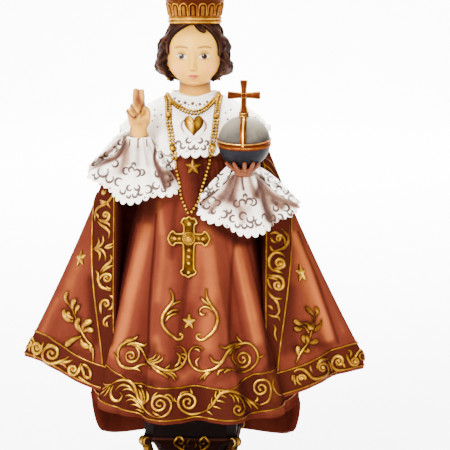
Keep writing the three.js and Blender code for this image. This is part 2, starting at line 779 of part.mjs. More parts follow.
// A bracket in its own plane: a small scroll outwards at the top, a drawn-in stem and a larger scroll as its foot.
function bracketShape(inner) {
  const rise = pedestalHeight - plinthThickness;
  const topZ = plinthThickness + 0.58 * rise;
  const footZ = plinthThickness + 0.13 * rise;
  const topReach = Math.hypot(pedestalHalfWidth, pedestalHalfDepth) - 0.5;
  const footReach = Math.hypot(plinthHalfWidth, plinthHalfDepth) * 0.82;
  const [topRadius, footRadius] = [2.7, 4.6];
  const shape = new THREE.Shape();
  shape.moveTo(inner, topZ + 1);
  shape.lineTo(topReach - topRadius, topZ + topRadius);
  shape.absarc(topReach, topZ, topRadius, 110 * degree, -140 * degree, true);
  shape.quadraticCurveTo(inner + 4, mix(footZ, topZ, 0.5), footReach - footRadius * 0.6, footZ + footRadius);
  shape.absarc(footReach, footZ, footRadius, 110 * degree, -130 * degree, true);
  shape.lineTo(inner, footZ - footRadius * 0.7);
  return shape;
}

function pedestal() {
  const inner = Math.hypot(pedestalHalfWidth, pedestalHalfDepth) * 0.5;
  const diagonal = Math.atan2(pedestalHalfDepth, pedestalHalfWidth);
  const turns = [diagonal, Math.PI - diagonal, Math.PI + diagonal, -diagonal];
  const brackets = turns.map((turn) =>
    extruded(bracketShape(inner), bracketThickness, (geometry) => {
      geometry.rotateX(Math.PI / 2);
      geometry.translate(0, bracketThickness / 2, 0);
      geometry.rotateZ(turn);
    }),
  );
  const base = block(point(-60, -60, -20), point(60, 60, 0));
  return join([pedestalBody(), ...brackets]).subtract(base);
}

// Materials and the finished group

const paint = (color, roughness, metalness = 0) => new THREE.MeshStandardMaterial({ color, roughness, metalness });
const redRobe = paint(0x9c4430, 0.5);
const crownGold = paint(0xb8742a, 0.35, 0.6);
const orbBlue = paint(0x5c6672, 0.45);
const darkBronze = paint(0x3a2018, 0.45, 0.2);

const statue = new THREE.Group();
const seat = pedestalHeight + fitGap;

const figureMesh = meshOf("figure", figure(), redRobe);
figureMesh.scale.setScalar(part);
figureMesh.position.z = seat;

const crownMesh = meshOf("crown", crown(), crownGold);
crownMesh.position.set(headCentre.x * part, 1 * part, seat + crownSeat * part + fitGap);

const orbMesh = meshOf("orb", orb(), orbBlue);
orbMesh.rotation.x = orbTilt;
orbMesh.position.copy(orbCentre).multiplyScalar(part).add(point(0, 0, seat));

statue.add(meshOf("pedestal", pedestal(), darkBronze), figureMesh, crownMesh, orbMesh);

export default statue;
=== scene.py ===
# A painted resin statuette of a crowned child in a wide robe and cape, on a scrolled pedestal.
# Shapes are drawn in parts: the figure is 200 parts high from its seat to the flat under the crown.
import math
import random

import bpy
import numpy as np
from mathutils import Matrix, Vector
from mathutils.bvhtree import BVHTree


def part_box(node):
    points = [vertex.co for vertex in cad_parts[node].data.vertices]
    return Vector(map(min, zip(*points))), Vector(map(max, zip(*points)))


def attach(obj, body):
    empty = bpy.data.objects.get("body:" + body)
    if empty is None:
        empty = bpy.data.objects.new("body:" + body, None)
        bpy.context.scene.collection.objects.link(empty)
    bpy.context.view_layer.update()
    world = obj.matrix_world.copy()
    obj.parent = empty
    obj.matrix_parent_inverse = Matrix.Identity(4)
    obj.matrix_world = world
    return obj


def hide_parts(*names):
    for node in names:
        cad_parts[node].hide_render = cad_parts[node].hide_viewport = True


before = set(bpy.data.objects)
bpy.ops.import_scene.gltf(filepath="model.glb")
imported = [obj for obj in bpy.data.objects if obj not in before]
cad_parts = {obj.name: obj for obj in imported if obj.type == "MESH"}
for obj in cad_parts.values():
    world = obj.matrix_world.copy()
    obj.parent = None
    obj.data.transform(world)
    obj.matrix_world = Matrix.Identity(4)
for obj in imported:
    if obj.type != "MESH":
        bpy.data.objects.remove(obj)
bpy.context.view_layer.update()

random.seed(7)
TURN = 2 * math.pi
DEGREE = math.pi / 180


# Places taken from the frame

_, pedestal_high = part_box("pedestal")
_, figure_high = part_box("figure")
crown_low, crown_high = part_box("crown")
GLUE = 0.0003
FIGURE_PARTS = 200
SEAT = pedestal_high.z + GLUE
PART = (figure_high.z - SEAT) / FIGURE_PARTS
# Where a piece's own space lies in the frame, its scale, and its tilt about the x axis
FIGURE_SPACE = (np.array([0, 0, SEAT]), PART, 0.0)


# Numbers and curves

def mix(a, b, share):
    return a + (b - a) * share


def smooth(x, low, high):
    t = np.clip((x - low) / (high - low), 0, 1)
    return t * t * (3 - 2 * t)


def bell(x, centre, width):
    return np.exp(-(((x - centre) / width) ** 2))


def unit(v):
    return v / np.maximum(np.linalg.norm(v, axis=-1, keepdims=True), 1e-9)


def stack(x, y, z):
    return np.stack(np.broadcast_arrays(x, y, z), axis=-1).astype(float)


def vector(*numbers):
    return np.array(numbers, dtype=float)


def full_turn(count):
    """Evenly spaced angles all the way round."""
    return np.linspace(0, TURN, count, endpoint=False)


def around(radius, angle, z):
    """Points round an upright axis; the angle is 0 at the front."""
    return stack(radius * np.sin(angle), -radius * np.cos(angle), z)


def grid(down, across):
    """Two arrays that pair every value of the one with every value of the other."""
    return np.meshgrid(down, across, indexing="ij")


def length_along(points):
    """How far along a line each of its points lies."""
    return np.concatenate([[0], np.cumsum(np.linalg.norm(np.diff(points, axis=0), axis=1))])


def spline(points, count, closed=False):
    """Evenly spaced points on a smooth curve through the given ones."""
    points = np.array(points, dtype=float)
    if closed:
        points = np.vstack([points[-1:], points, points[:2]])
    else:
        points = np.vstack([2 * points[0] - points[1], points, 2 * points[-1] - points[-2]])
    pieces = []
    for before, start, end, after in zip(points, points[1:], points[2:], points[3:]):
        t = np.linspace(0, 1, 24, endpoint=False)[:, None]
        pieces.append(
            0.5 * (2 * start + (end - before) * t + (2 * before - 5 * start + 4 * end - after) * t**2
                   + (3 * start - before - 3 * end + after) * t**3)
        )
    dense = np.vstack(pieces + [points[-2:-1]])
    along = length_along(dense)
    wanted = np.linspace(0, along[-1], count + 1 if closed else count)
    if closed:
        wanted = wanted[:-1]
    return np.stack([np.interp(wanted, along, dense[:, axis]) for axis in range(points.shape[1])], axis=1)


# The photograph's eye

AIM = np.array([0.017796, 0.000933, 0.149959])
CAMERA_AZIMUTH, CAMERA_LIFT, CAMERA_AWAY = 3 * DEGREE, 8 * DEGREE, 1.0
PHOTO_SIDE = 450
PHOTO_MIDDLE = PHOTO_SIDE / 2
PHOTO_FOCAL = 1851.85
camera_back = np.array([
    math.sin(CAMERA_AZIMUTH) * math.cos(CAMERA_LIFT),
    -math.cos(CAMERA_AZIMUTH) * math.cos(CAMERA_LIFT),
    math.sin(CAMERA_LIFT),
])
camera_right = np.array([math.cos(CAMERA_AZIMUTH), math.sin(CAMERA_AZIMUTH), 0])
camera_up = np.cross(camera_back, camera_right)
camera_place = AIM + camera_back * CAMERA_AWAY
EYE = (camera_place - FIGURE_SPACE[0]) / PART


def sight(place):
    """The direction in which the eye sees a place on the photograph."""
    across, down = place[0] - PHOTO_MIDDLE, place[1] - PHOTO_MIDDLE
    return unit(camera_right * across - camera_up * down - camera_back * PHOTO_FOCAL)


def on_photo(points):
    """Where points of the figure appear on the photograph."""
    away = points * PART + FIGURE_SPACE[0] - camera_place
    scale = PHOTO_FOCAL / -(away @ camera_back)
    return np.stack([PHOTO_MIDDLE + scale * (away @ camera_right), PHOTO_MIDDLE - scale * (away @ camera_up)],
                    axis=-1)


def airbrushed(points, strokes):
    """Soft strokes laid over what the photograph shows: strength, half width and places of each stroke."""
    places = on_photo(points)
    bare = np.ones(places.shape[:-1])
    for strength, width, path in strokes:
        dense = np.array(path, dtype=float)
        if len(path) > 1:
            dense = spline(path, int(np.clip(length_along(dense)[-1] / (0.5 * width), 6, 120)))
        low, high = dense.min(0) - 3 * width, dense.max(0) + 3 * width
        near = ((places > low) & (places < high)).all(-1)
        if not near.any():
            continue
        distance = np.linalg.norm(places[near][:, None] - dense[None], axis=-1).min(1)
        bare[near] *= 1 - strength * np.exp(-((distance / width) ** 2))
    return 1 - bare


# Pieces

def round_turns(count, closeness=0.65):
    """Angles all the way round, closer together at the front."""
    raw = np.linspace(-1, 1, count, endpoint=False)
    return math.pi * (closeness * raw + (1 - closeness) * raw**3)


def volume(points, faces):
    """Six times the volume that the faces enclose; below zero when they look inwards."""
    four = np.array([face for face in faces if len(face) == 4])
    other = [(face[0], face[k], face[k + 1]) for face in faces if len(face) != 4
             for k in range(1, len(face) - 1)]
    triangles = [np.array(other).reshape(-1, 3).astype(int)]
    if len(four):
        triangles += [four[:, [0, 1, 2]], four[:, [0, 2, 3]]]
    a, b, c = points[np.vstack(triangles)].transpose(1, 0, 2)
    return (a * np.cross(b, c)).sum()


def turned_out(body):
    """The body's points and faces, with every face looking outwards."""
    points, faces = body
    points = np.asarray(points).reshape(-1, 3)
    return points, [face[::-1] for face in faces] if volume(points, faces) < 0 else faces


def joined(bodies):
    """The points and faces of several bodies as one list each."""
    points, faces, count = [], [], 0
    for body_points, body_faces in bodies:
        points.append(np.asarray(body_points).reshape(-1, 3))
        faces += [[i + count for i in face] for face in body_faces]
        count += len(points[-1])
    return np.vstack(points).tolist(), faces


class Casting:
    """Closed bodies of one paint, gathered into one mesh; paint holds a number for each point."""

    def __init__(self, name, node, slot, material, space=FIGURE_SPACE, smooth_faces=True):
        self.name, self.node, self.slot, self.material = name, node, slot, material
        self.space, self.smooth_faces = space, smooth_faces
        self.points, self.faces, self.paint, self.count = [], [], [], 0

    def add(self, body, **paint):
        points, faces = turned_out(body)
        self.points.append(points)
        self.faces.extend([[i + self.count for i in face] for face in faces])
        self.paint.append({key: on_points(value, len(points)) for key, value in paint.items()})
        self.count += len(points)
        return self

    def raised(self, points, normals, width, height, taper=1.0, sides=8, groove=0.0, shine=1.0):
        """Adds a raised line with a painted highlight along its top."""
        body, crest = sweep(points, normals, width, height, taper, sides, groove)
        return self.add(body, crest=crest * shine)

    def build(self):
        origin, scale, tilt = self.space
        x, y, z = np.vstack(self.points).T
        cos, sin = math.cos(tilt), math.sin(tilt)
        points = stack(x, y * cos - z * sin, y * sin + z * cos) * scale + origin
        mesh = bpy.data.meshes.new(self.name)
        mesh.from_pydata(points.tolist(), [], self.faces)
        for key in sorted({key for paint in self.paint for key in paint}):
            values = [paint.get(key, np.zeros(len(part))) for paint, part in zip(self.paint, self.points)]
            layer = mesh.attributes.new(key, "FLOAT", "POINT")
            layer.data.foreach_set("value", np.concatenate(values).astype(np.float32))
        mesh.polygons.foreach_set("use_smooth", [self.smooth_faces] * len(mesh.polygons))
        mesh.update()
        piece = bpy.data.objects.new(self.name, mesh)
        bpy.context.scene.collection.objects.link(piece)
        piece.data.materials.append(self.material)
        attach(piece, "root")
        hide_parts(self.node)
        return piece


def skin(rings):
    """A skin over rings with as many points each; a fan closes each end."""
    rings = np.asarray(rings, dtype=float)
    rows, cols = rings.shape[:2]
    row, k = grid(np.arange(rows - 1), np.arange(cols))
    a = (row * cols + k).ravel()
    b = (row * cols + (k + 1) % cols).ravel()
    faces = np.stack([a, b, b + cols, a + cols], axis=1).tolist()
    first, last, end = rows * cols, rows * cols + 1, (rows - 1) * cols
    faces += [[first, (k + 1) % cols, k] for k in range(cols)]
    faces += [[last, end + k, end + (k + 1) % cols] for k in range(cols)]
    return np.vstack([rings.reshape(-1, 3), rings[0].mean(0), rings[-1].mean(0)]), faces


def on_points(values, count):
    """One number for each point; a skin's two end points take the mean of the ring beside them."""
    values = np.asarray(values, dtype=float)
    if values.size == count - 2:
        values = np.concatenate([values.ravel(), [values[0].mean(), values[-1].mean()]])
    return np.broadcast_to(values.ravel(), count)


def path_frames(path):
    """Tangents, and normals that don't twist along the path."""
    tangents = unit(np.gradient(path, axis=0))
    normal = np.cross(tangents[0], [0.31, 0.87, 0.4])
    normals = []
    for tangent in tangents:
        normal = unit(normal - np.dot(normal, tangent) * tangent)
        normals.append(normal)
    return tangents, np.array(normals)


# The rounded ends of a limb: its rings in degrees, and its length as a share of the radius
ROUND_END, END_LENGTH = (80, 55, 28), 0.6


def limb(points, radius, sides, count):
    """A round body along a curve; radius is a function of the share of the length."""
    path = spline(points, count)
    tangents, normals = path_frames(path)
    sideways = np.cross(tangents, normals)
    radii = np.array([radius(share) for share in np.linspace(0, 1, count)])
    angles = full_turn(sides)
    rings = []

    def ring_at(k, shift, size):
        centre = path[k] + tangents[k] * shift
        rings.append(centre + radii[k] * size * (np.outer(np.cos(angles), normals[k])
                                                  + np.outer(np.sin(angles), sideways[k])))

    for lift in ROUND_END:
        ring_at(0, -radii[0] * END_LENGTH * math.sin(lift * DEGREE), math.cos(lift * DEGREE))
    for k in range(count):
        ring_at(k, 0, 1)
    for lift in reversed(ROUND_END):
        ring_at(count - 1, radii[-1] * END_LENGTH * math.sin(lift * DEGREE), math.cos(lift * DEGREE))
    return skin(rings)


def ball(centre, radii, across=24, up=16):
    lift, angle = grid(np.linspace(-88, 88, up) * DEGREE, full_turn(across))
    rx, ry, rz = np.broadcast_to(np.asarray(radii, dtype=float), 3)
    rings = stack(rx * np.cos(lift) * np.cos(angle), ry * np.cos(lift) * np.sin(angle), rz * np.sin(lift))
    return skin(rings + np.asarray(centre, dtype=float))


# Paint: shader maths written as expressions

class Shade:
    """A socket in a material, with the operators that the paints use."""

    def __init__(self, paint, socket):
        self.paint, self.socket = paint, socket

    def maths(self, operation, a, b):
        return self.paint.node("ShaderNodeMath", {"operation": operation}, {0: a, 1: b})[0]

    def __add__(self, other):
        return self.maths("ADD", self, other)

    def __radd__(self, other):
        return self.maths("ADD", other, self)

    def __sub__(self, other):
        return self.maths("SUBTRACT", self, other)

    def __rsub__(self, other):
        return self.maths("SUBTRACT", other, self)

    def __mul__(self, other):
        return self.maths("MULTIPLY", self, other)

    def __rmul__(self, other):
        return self.maths("MULTIPLY", other, self)

    def clamped(self):
        return self.maths("MINIMUM", self.maths("MAXIMUM", self, 0.0), 1.0)

    def step(self, low, high):
        """0 below low, 1 above high, smooth between."""
        inputs = {0: self, 1: low, 2: high, 3: 0.0, 4: 1.0}
        return self.paint.node("ShaderNodeMapRange", {"interpolation_type": "SMOOTHSTEP"}, inputs)[0]


class Paint:
    """A procedural material on one shader."""

    def __init__(self, name):
        self.material = bpy.data.materials.new(name)
        self.material.use_nodes = True
        self.tree = self.material.node_tree
        self.shader = self.tree.nodes["Principled BSDF"]

    def node(self, kind, settings=None, inputs=None):
        made = self.tree.nodes.new(kind)
        for key, value in (settings or {}).items():
            setattr(made, key, value)
        for key, value in (inputs or {}).items():
            self.feed(made.inputs[key], value)
        return [Shade(self, socket) for socket in made.outputs]

    def feed(self, socket, value):
        if isinstance(value, Shade):
            self.tree.links.new(value.socket, socket)
        elif isinstance(value, (tuple, list)) and len(socket.default_value) == 4 and len(value) == 3:
            socket.default_value = (*value, 1.0)
        else:
            socket.default_value = value

    def brushed(self, key):
        """A number painted on the mesh's points."""
        return self.node("ShaderNodeAttribute", {"attribute_name": key})[2]

    def noise(self, scale, detail, roughness, stretch=None):
        where = self.node("ShaderNodeTexCoord")[3]
        if stretch:
            where = self.node("ShaderNodeMapping", None, {0: where, 3: stretch})[0]
        inputs = {"Vector": where, "Scale": scale, "Detail": detail, "Roughness": roughness}
        return self.node("ShaderNodeTexNoise", None, inputs)[0]

    def blend(self, share, low, high):
        return self.node("ShaderNodeMix", {"data_type": "RGBA"}, {0: share, 6: low, 7: high})[2]

    def bump(self, height, strength, distance):
        inputs = {"Height": height, "Strength": strength, "Distance": distance}
        return self.node("ShaderNodeBump", None, inputs)[0]

    def finish(self, **values):
        for key, value in values.items():
            self.feed(self.shader.inputs[key.replace("_", " ")], value)
        return self.material


def robe_paint():
    """Copper-red matt paint, with painted shade in the folds and painted highlights on the ridges."""
    paint = Paint("copper red robe")
    # ridge holds the painted highlights, shadow the painted shade
    ridge = paint.brushed("ridge")
    shadow = paint.brushed("shadow")
    cloud = paint.noise(60.0, 5.0, 0.6)
    streak = paint.noise(150.0, 4.0, 0.6, (1.0, 1.0, 0.16))
    speck = paint.noise(900.0, 3.0, 0.7)
    # dark is the colour of the painted shade, tan that of the painted highlights
    dark = (0.014, 0.0024, 0.0018)
    red = (0.046, 0.0066, 0.004)
    copper = (0.088, 0.0175, 0.0085)
    tan = (0.24, 0.06, 0.015)
    lightness = ridge + (cloud - 0.5) * 0.35 + (streak - 0.5) * 0.16
    colour = paint.blend(lightness.step(0.1, 0.55), red, copper)
    colour = paint.blend(lightness.step(0.5, 1.15), colour, tan)
    # Painted shade from the shadow mask darkens the colour and roughens it a little
    painted_shade = (shadow + (cloud - 0.5) * 0.25 + (streak - 0.5) * 0.1).step(0.08, 1.0)
    colour = paint.blend(painted_shade * 0.95, colour, dark)
    colour = paint.blend(speck.step(0.66, 0.74) * 0.25, colour, dark)
    rough = 0.42 + (cloud - 0.5) * 0.25 + painted_shade * 0.12
    relief = streak * 0.6 + speck * 0.25 + cloud * 0.4
    return paint.finish(Base_Color=colour, Roughness=rough, Normal=paint.bump(relief, 0.25, 0.0004),
                        Specular_IOR_Level=0.0)


def gold_paint(name, wash, gold, bright):
    """Antique gold: a brown wash with painted shade in the hollows, painted highlights where the relief is
    highest.
    """
    paint = Paint(name)
    crest = paint.brushed("crest")
    cloud = paint.noise(220.0, 4.0, 0.6)
    speck = paint.noise(1400.0, 3.0, 0.6)
    height = crest + (cloud - 0.5) * 0.8
    colour = paint.blend(height.step(0.3, 0.88), wash, gold)
    # bright is the painted highlight
    colour = paint.blend(height.step(0.76, 1.22), colour, bright)
    rough = 0.32 + (speck - 0.5) * 0.2 + (1 - crest) * 0.15
    return paint.finish(Base_Color=colour, Metallic=0.65, Roughness=rough, Specular_IOR_Level=0.1,
                        Specular_Tint=(1.0, 0.6, 0.2, 1.0),
                        Normal=paint.bump(speck + cloud * 0.5, 0.2, 0.0002))


def lace_paint():
    """White, with a mauve wash and painted shade in the gathers, umber where the painted shade is deepest,
    and brown in the cut work.
    """
    paint = Paint("washed white lace")
    cut = paint.brushed("cut")
    shadow = paint.brushed("shadow")
    cloud = paint.noise(120.0, 5.0, 0.6)
    thread = paint.noise(1500.0, 2.0, 0.6)
    white = (0.97, 0.88, 0.76)
    mauve = (0.2, 0.1, 0.06)
    umber = (0.03, 0.007, 0.0035)
    brown = (0.045, 0.014, 0.008)
    # wash follows the shadow mask: a mauve wash with painted shade, deepest in umber
    wash = shadow + (cloud - 0.5) * 0.35
    colour = paint.blend(wash.step(0.14, 0.8), white, mauve)
    colour = paint.blend(wash.step(0.6, 1.05), colour, umber)
    colour = paint.blend((cut + (cloud - 0.5) * 0.3).step(0.2, 0.7) * 0.97, colour, brown)
    colour = paint.blend(thread.step(0.62, 0.8) * 0.15, colour, mauve)
    return paint.finish(Base_Color=colour, Roughness=0.5 + shadow * 0.15, Specular_IOR_Level=0.25,
                        Normal=paint.bump(thread * 0.5 + cloud * 0.5 - cut * 0.8, 0.35, 0.0003))


def skin_paint():
    """Ivory skin with a warm blush, and painted shade in warm brown and umber; the face's features are
    painted from the brushed masks.
    """
    paint = Paint("ivory skin")
    mottle = paint.noise(180.0, 4.0, 0.6)
    speck = paint.noise(1200.0, 2.0, 0.5)
    ivory = (0.62, 0.31, 0.025)
    # warm is the colour of the painted shade
    warm = (0.13, 0.03, 0.006)
    rose = (0.78, 0.22, 0.06)
    colour = paint.blend((paint.brushed("shadow") + (mottle - 0.5) * 0.25).clamped(), ivory, warm)
    colour = paint.blend(paint.brushed("blush") * 0.5, colour, rose)
    layers = {
        # umber is the darkest painted shade
        "umber": (0.03, 0.007, 0.003),
        "lip": (0.42, 0.055, 0.025),
        "eye_white": (0.62, 0.48, 0.3),
        "iris": (0.035, 0.011, 0.004),
        "pupil": (0.002, 0.001, 0.001),
        "glint": (0.95, 0.95, 0.95),
        "lash": (0.012, 0.004, 0.002),
        "brow": (0.055, 0.017, 0.007),
    }
    for key, tint in layers.items():
        colour = paint.blend(paint.brushed(key), colour, tint)
    rough = 0.42 + (mottle - 0.5) * 0.15 - paint.brushed("glint") * 0.2
    return paint.finish(Base_Color=colour, Roughness=rough, Specular_IOR_Level=0.14,
                        Normal=paint.bump(mottle + speck * 0.3, 0.12, 0.0003))


def hair_paint():
    """Dark brown, with painted highlights on the ridges of the locks."""
    paint = Paint("dark brown hair")
    crest = paint.brushed("crest")
    strand = paint.noise(420.0, 4.0, 0.65)
    cloud = paint.noise(90.0, 3.0, 0.5)
    height = crest + (strand - 0.5) * 0.5 + (cloud - 0.5) * 0.3
    colour = paint.blend(height.step(0.1, 0.75), (0.007, 0.0018, 0.0008), (0.038, 0.0115, 0.0048))
    # The lightest brown is the painted highlight
    colour = paint.blend(height.step(0.7, 1.2), colour, (0.13, 0.055, 0.024))
    return paint.finish(Base_Color=colour, Roughness=0.5 + (cloud - 0.5) * 0.2, Specular_IOR_Level=0.04,
                        Normal=paint.bump(strand, 0.4, 0.0004))


def orb_paint():
    """Grey-blue, with painted light on top and painted shade below, nearly black."""
    paint = Paint("slate blue orb")
    light = paint.brushed("light")
    cloud = paint.noise(110.0, 5.0, 0.6)
    speck = paint.noise(900.0, 3.0, 0.6)
    tone = light + (cloud - 0.5) * 0.3
    # The nearly black colour is the painted shade, the pale one the painted light
    colour = paint.blend(tone.step(0.05, 0.5), (0.0016, 0.0011, 0.0014), (0.0068, 0.0062, 0.0084))
    colour = paint.blend(tone.step(0.46, 0.98), colour, (0.2, 0.17, 0.12))
    colour = paint.blend(speck.step(0.62, 0.8) * 0.2, colour, (0.02, 0.015, 0.012))
    return paint.finish(Base_Color=colour, Roughness=0.45 + (cloud - 0.5) * 0.25, Specular_IOR_Level=0.04,
                        Normal=paint.bump(cloud + speck * 0.3, 0.15, 0.0004))


def bronze_paint():
    """Nearly black brown, lighter red-brown on the edges."""
    paint = Paint("dark bronze brown")
    crest = paint.brushed("crest")
    cloud = paint.noise(80.0, 5.0, 0.6)
    speck = paint.noise(700.0, 3.0, 0.6)
    height = crest + (cloud - 0.5) * 0.5
    colour = paint.blend(height.step(0.1, 0.7), (0.002, 0.0005, 0.0003), (0.009, 0.002, 0.0012))
    colour = paint.blend(height.step(0.7, 1.1), colour, (0.03, 0.007, 0.0025))
    return paint.finish(Base_Color=colour, Roughness=0.6 + (cloud - 0.5) * 0.25, Specular_IOR_Level=0.03,
                        Normal=paint.bump(cloud + speck * 0.4, 0.2, 0.0004))


ROBE, LACE = robe_paint(), lace_paint()
GOLD, YELLOW_GOLD, CROWN_GOLD, COPPER_GOLD, DARK_GOLD = [gold_paint(*tints) for tints in (
    ("antique gold", (0.018, 0.004, 0.001), (0.2, 0.08, 0.004), (0.88, 0.5, 0.03)),
    ("bright yellow gold", (0.05, 0.014, 0.002), (0.36, 0.17, 0.008), (0.9, 0.62, 0.07)),
    ("copper gold crown", (0.025, 0.0035, 0.0013), (0.15, 0.048, 0.004), (0.58, 0.3, 0.018)),
    ("copper gold orb mounts", (0.04, 0.006, 0.0015), (0.17, 0.04, 0.004), (1.0, 0.55, 0.08)),
    ("rubbed gold on bronze", (0.012, 0.003, 0.001), (0.2, 0.085, 0.006), (0.9, 0.6, 0.1)),
)]
SKIN, HAIR, ORB_BLUE, BRONZE = skin_paint(), hair_paint(), orb_paint(), bronze_paint()


# Relief laid on a surface

FEWEST_HITS = 4


class Ground:
    """A surface that relief is laid on."""

    def __init__(self, *bodies):
        self.tree = BVHTree.FromPolygons(*joined(map(turned_out, bodies)))

    def hit(self, origin, direction):
        point, normal, _, _ = self.tree.ray_cast(Vector(origin), Vector(direction))
        if point is None:
            return None
        normal = np.array(normal)
        return np.array(point), -normal if np.dot(normal, direction) > 0 else normal

    def seen(self, place):
        return self.hit(EYE, sight(place))

    def trace(self, places):
        """The places on the photograph that meet the surface, as points and directions out of it."""
        hits = np.array([hit for hit in map(self.seen, places) if hit])
        return on_surface(hits) if len(hits) >= FEWEST_HITS else None

    def under(self, points):
        """The nearest points of the surface, and the directions out of it."""
        near = [self.tree.find_nearest(Vector(point)) for point in points]
        return np.array([place[0] for place in near]), np.array([place[1] for place in near])


def on_surface(hits):
    """The points and directions of hits, eased along the line."""
    return eased(hits[:, 0]), unit(eased(hits[:, 1], 3))


def eased(values, times=1):
    """Values smoothed along a line whose ends stay."""
    for _ in range(times):
        values = np.vstack([values[:1], (values[:-2] + 2 * values[1:-1] + values[2:]) / 4, values[-1:]])
    return values


# The direction of the painted light: gold is painted brightest on the side that faces it
PAINTED_LIGHT_FROM = unit(vector(-0.45, -0.5, 0.74))


def sweep(points, normals, width, height, taper, sides, groove):
    """A raised line with a rounded top, its lower half sunk in the ground, and how bright each point is."""
    tangents = unit(np.gradient(points, axis=0))
    normals = np.broadcast_to(normals, points.shape)
    normals = unit(normals - (normals * tangents).sum(1, keepdims=True) * tangents)
    sideways = np.cross(normals, tangents)
    size = np.broadcast_to(taper, len(points))[:, None]
    angles = full_turn(sides)
    out = np.cos(angles)
    up = np.sin(angles)
    rise = up * (1 - groove * bell(out, 0, 0.35))
    rise = np.where(rise < 0, rise * 0.5, rise)
    rings = points[:, None] + size[..., None] * (width / 2 * out[None, :, None] * sideways[:, None]
                                                 + height * rise[None, :, None] * normals[:, None])
    # Painted highlight on the top of the line, brightest on the side that faces the painted light
    facing = out * (sideways @ PAINTED_LIGHT_FROM)[:, None] + up * (normals @ PAINTED_LIGHT_FROM)[:, None]
    crest = np.clip(up, 0, 1) * (0.45 + 0.55 * size) * (0.7 + 0.6 * facing)
    return skin(rings), np.clip(crest, 0, 1)


CURL_STEPS, CURL_SHRINK = 26, 0.82


def with_curl(points, centre, turns):
    """A line's points, carried on by a spiral round a centre."""
    last, centre = vector(*points[-1]), vector(*centre)
    away = last - centre
    radius, start = np.hypot(*away), math.atan2(away[1], away[0])
    spiral = []
    for share in np.linspace(0, 1, round(CURL_STEPS * abs(turns)) + 2)[1:]:
        angle = start + share * turns * TURN
        reach = radius * (1 - CURL_SHRINK * share)
        spiral.append(centre + reach * np.array([math.cos(angle), math.sin(angle)]))
    return np.vstack([points, spiral])


# How thick a stroke is along its length: shares of the length, and of its full width
STEM_TAPER = ([0, 0.12, 0.5, 0.9, 1], [0.35, 0.9, 1.0, 0.85, 0.7])
LEAF_TAPER = ([0, 0.15, 0.45, 0.8, 1], [0.35, 0.75, 1.0, 0.7, 0.16])
BUD_TAPER = ([0, 0.3, 0.7, 0.92, 1], [0.25, 0.62, 1.0, 0.8, 0.3])


def tapered(count, taper):
    return np.interp(np.linspace(0, 1, count), *taper)


def relief(piece, ground, strokes, height, leaf=LEAF_TAPER, groove=0.25, boldness=1.3):
    """Lays the photograph's strokes on a surface: leaves, and stems that end in a spiral and a bud."""
    for width, points, *curl in strokes:
        width = width * boldness
        places = with_curl(points, *curl) if curl else np.array(points)
        count = int(np.clip(length_along(places)[-1] * 0.9, 8, 110))
        traced = ground.trace(spline(places, count))
        if traced is None:
            continue
        taper = tapered(len(traced[0]), STEM_TAPER if curl else leaf)
        piece.raised(*traced, width, height * (0.7 + 0.2 * width), taper, groove=groove)
        if curl:
            end, out = traced[0][-1], traced[1][-1]
            piece.add(ball(end + out * 0.2, 0.42 * width, 10, 8), crest=0.85)


def line(piece, ground, points, width, height):
    near, normals = ground.under(points)
    piece.raised(eased(near, 2), normals, width, height, sides=6, shine=0.85)


LEAFLET_WIDTH = 0.95


def leaflets(stem, start, end, count, reach, lean, bend):
    """Small leaves along a stem: each leaves it at an angle, lean, and bends on by another."""
    stem = spline(stem, 60)
    tangents = np.gradient(stem, axis=0)
    strokes = []
    for share in np.linspace(0, 1, count):
        k = round(mix(start, end, share) * 59)
        first = math.atan2(tangents[k][1], tangents[k][0]) + lean * DEGREE
        second = first + bend * DEGREE
        step = 0.5 * reach * (0.8 + 0.3 * math.sin(math.pi * share))
        middle = stem[k] + step * np.array([math.cos(first), math.sin(first)])
        tip = middle + step * np.array([math.cos(second), math.sin(second)])
        strokes.append((LEAFLET_WIDTH, [stem[k], middle, tip]))
    return strokes


# Scrolls and leaves

LEFT_STEM = [
    (137.6, 346), (142, 349.4), (144.5, 354), (148.7, 361.7), (153.1, 364.4), (162, 369.4), (170.9, 370.6),
    (178.7, 368.3), (184.2, 362.8), (186.4, 356.1), (184.2, 349.4), (179.8, 346.1), (175.3, 347.8),
]
RIGHT_STEM = [
    (203.1, 349.4), (199.8, 346.7), (194.2, 346.7), (189.8, 351.1), (188.7, 357.2), (190.9, 363.9),
    (195.3, 368.9), (202, 371.1), (208.7, 370.6), (215.3, 368.3), (220.9, 363.3), (224.2, 357.2),
    (227.6, 351.7), (234.2, 346.1), (242, 343.3), (248.7, 343.3), (254.2, 347.2), (257.6, 353.9),
    (257.6, 360.6), (253.1, 367.2), (246.4, 371.1), (239.8, 372.2), (232, 369.4), (224.2, 368.9),
    (218.7, 372.8),
]
LEFT_PLUME = [
    (112, 383.9), (118.7, 380.6), (126.4, 380), (133.1, 383.9), (136.4, 390.6), (138.7, 398.3),
    (144.2, 408.3), (150.9, 415), (156.4, 417.4),
]
RIGHT_PLUME = [
    (204.2, 411.7), (210.9, 407.2), (215.3, 400.6), (220.9, 393.9), (228.7, 391.1), (236.4, 392.8),
    (244.2, 397.2), (252, 401.7), (259.8, 405),
]
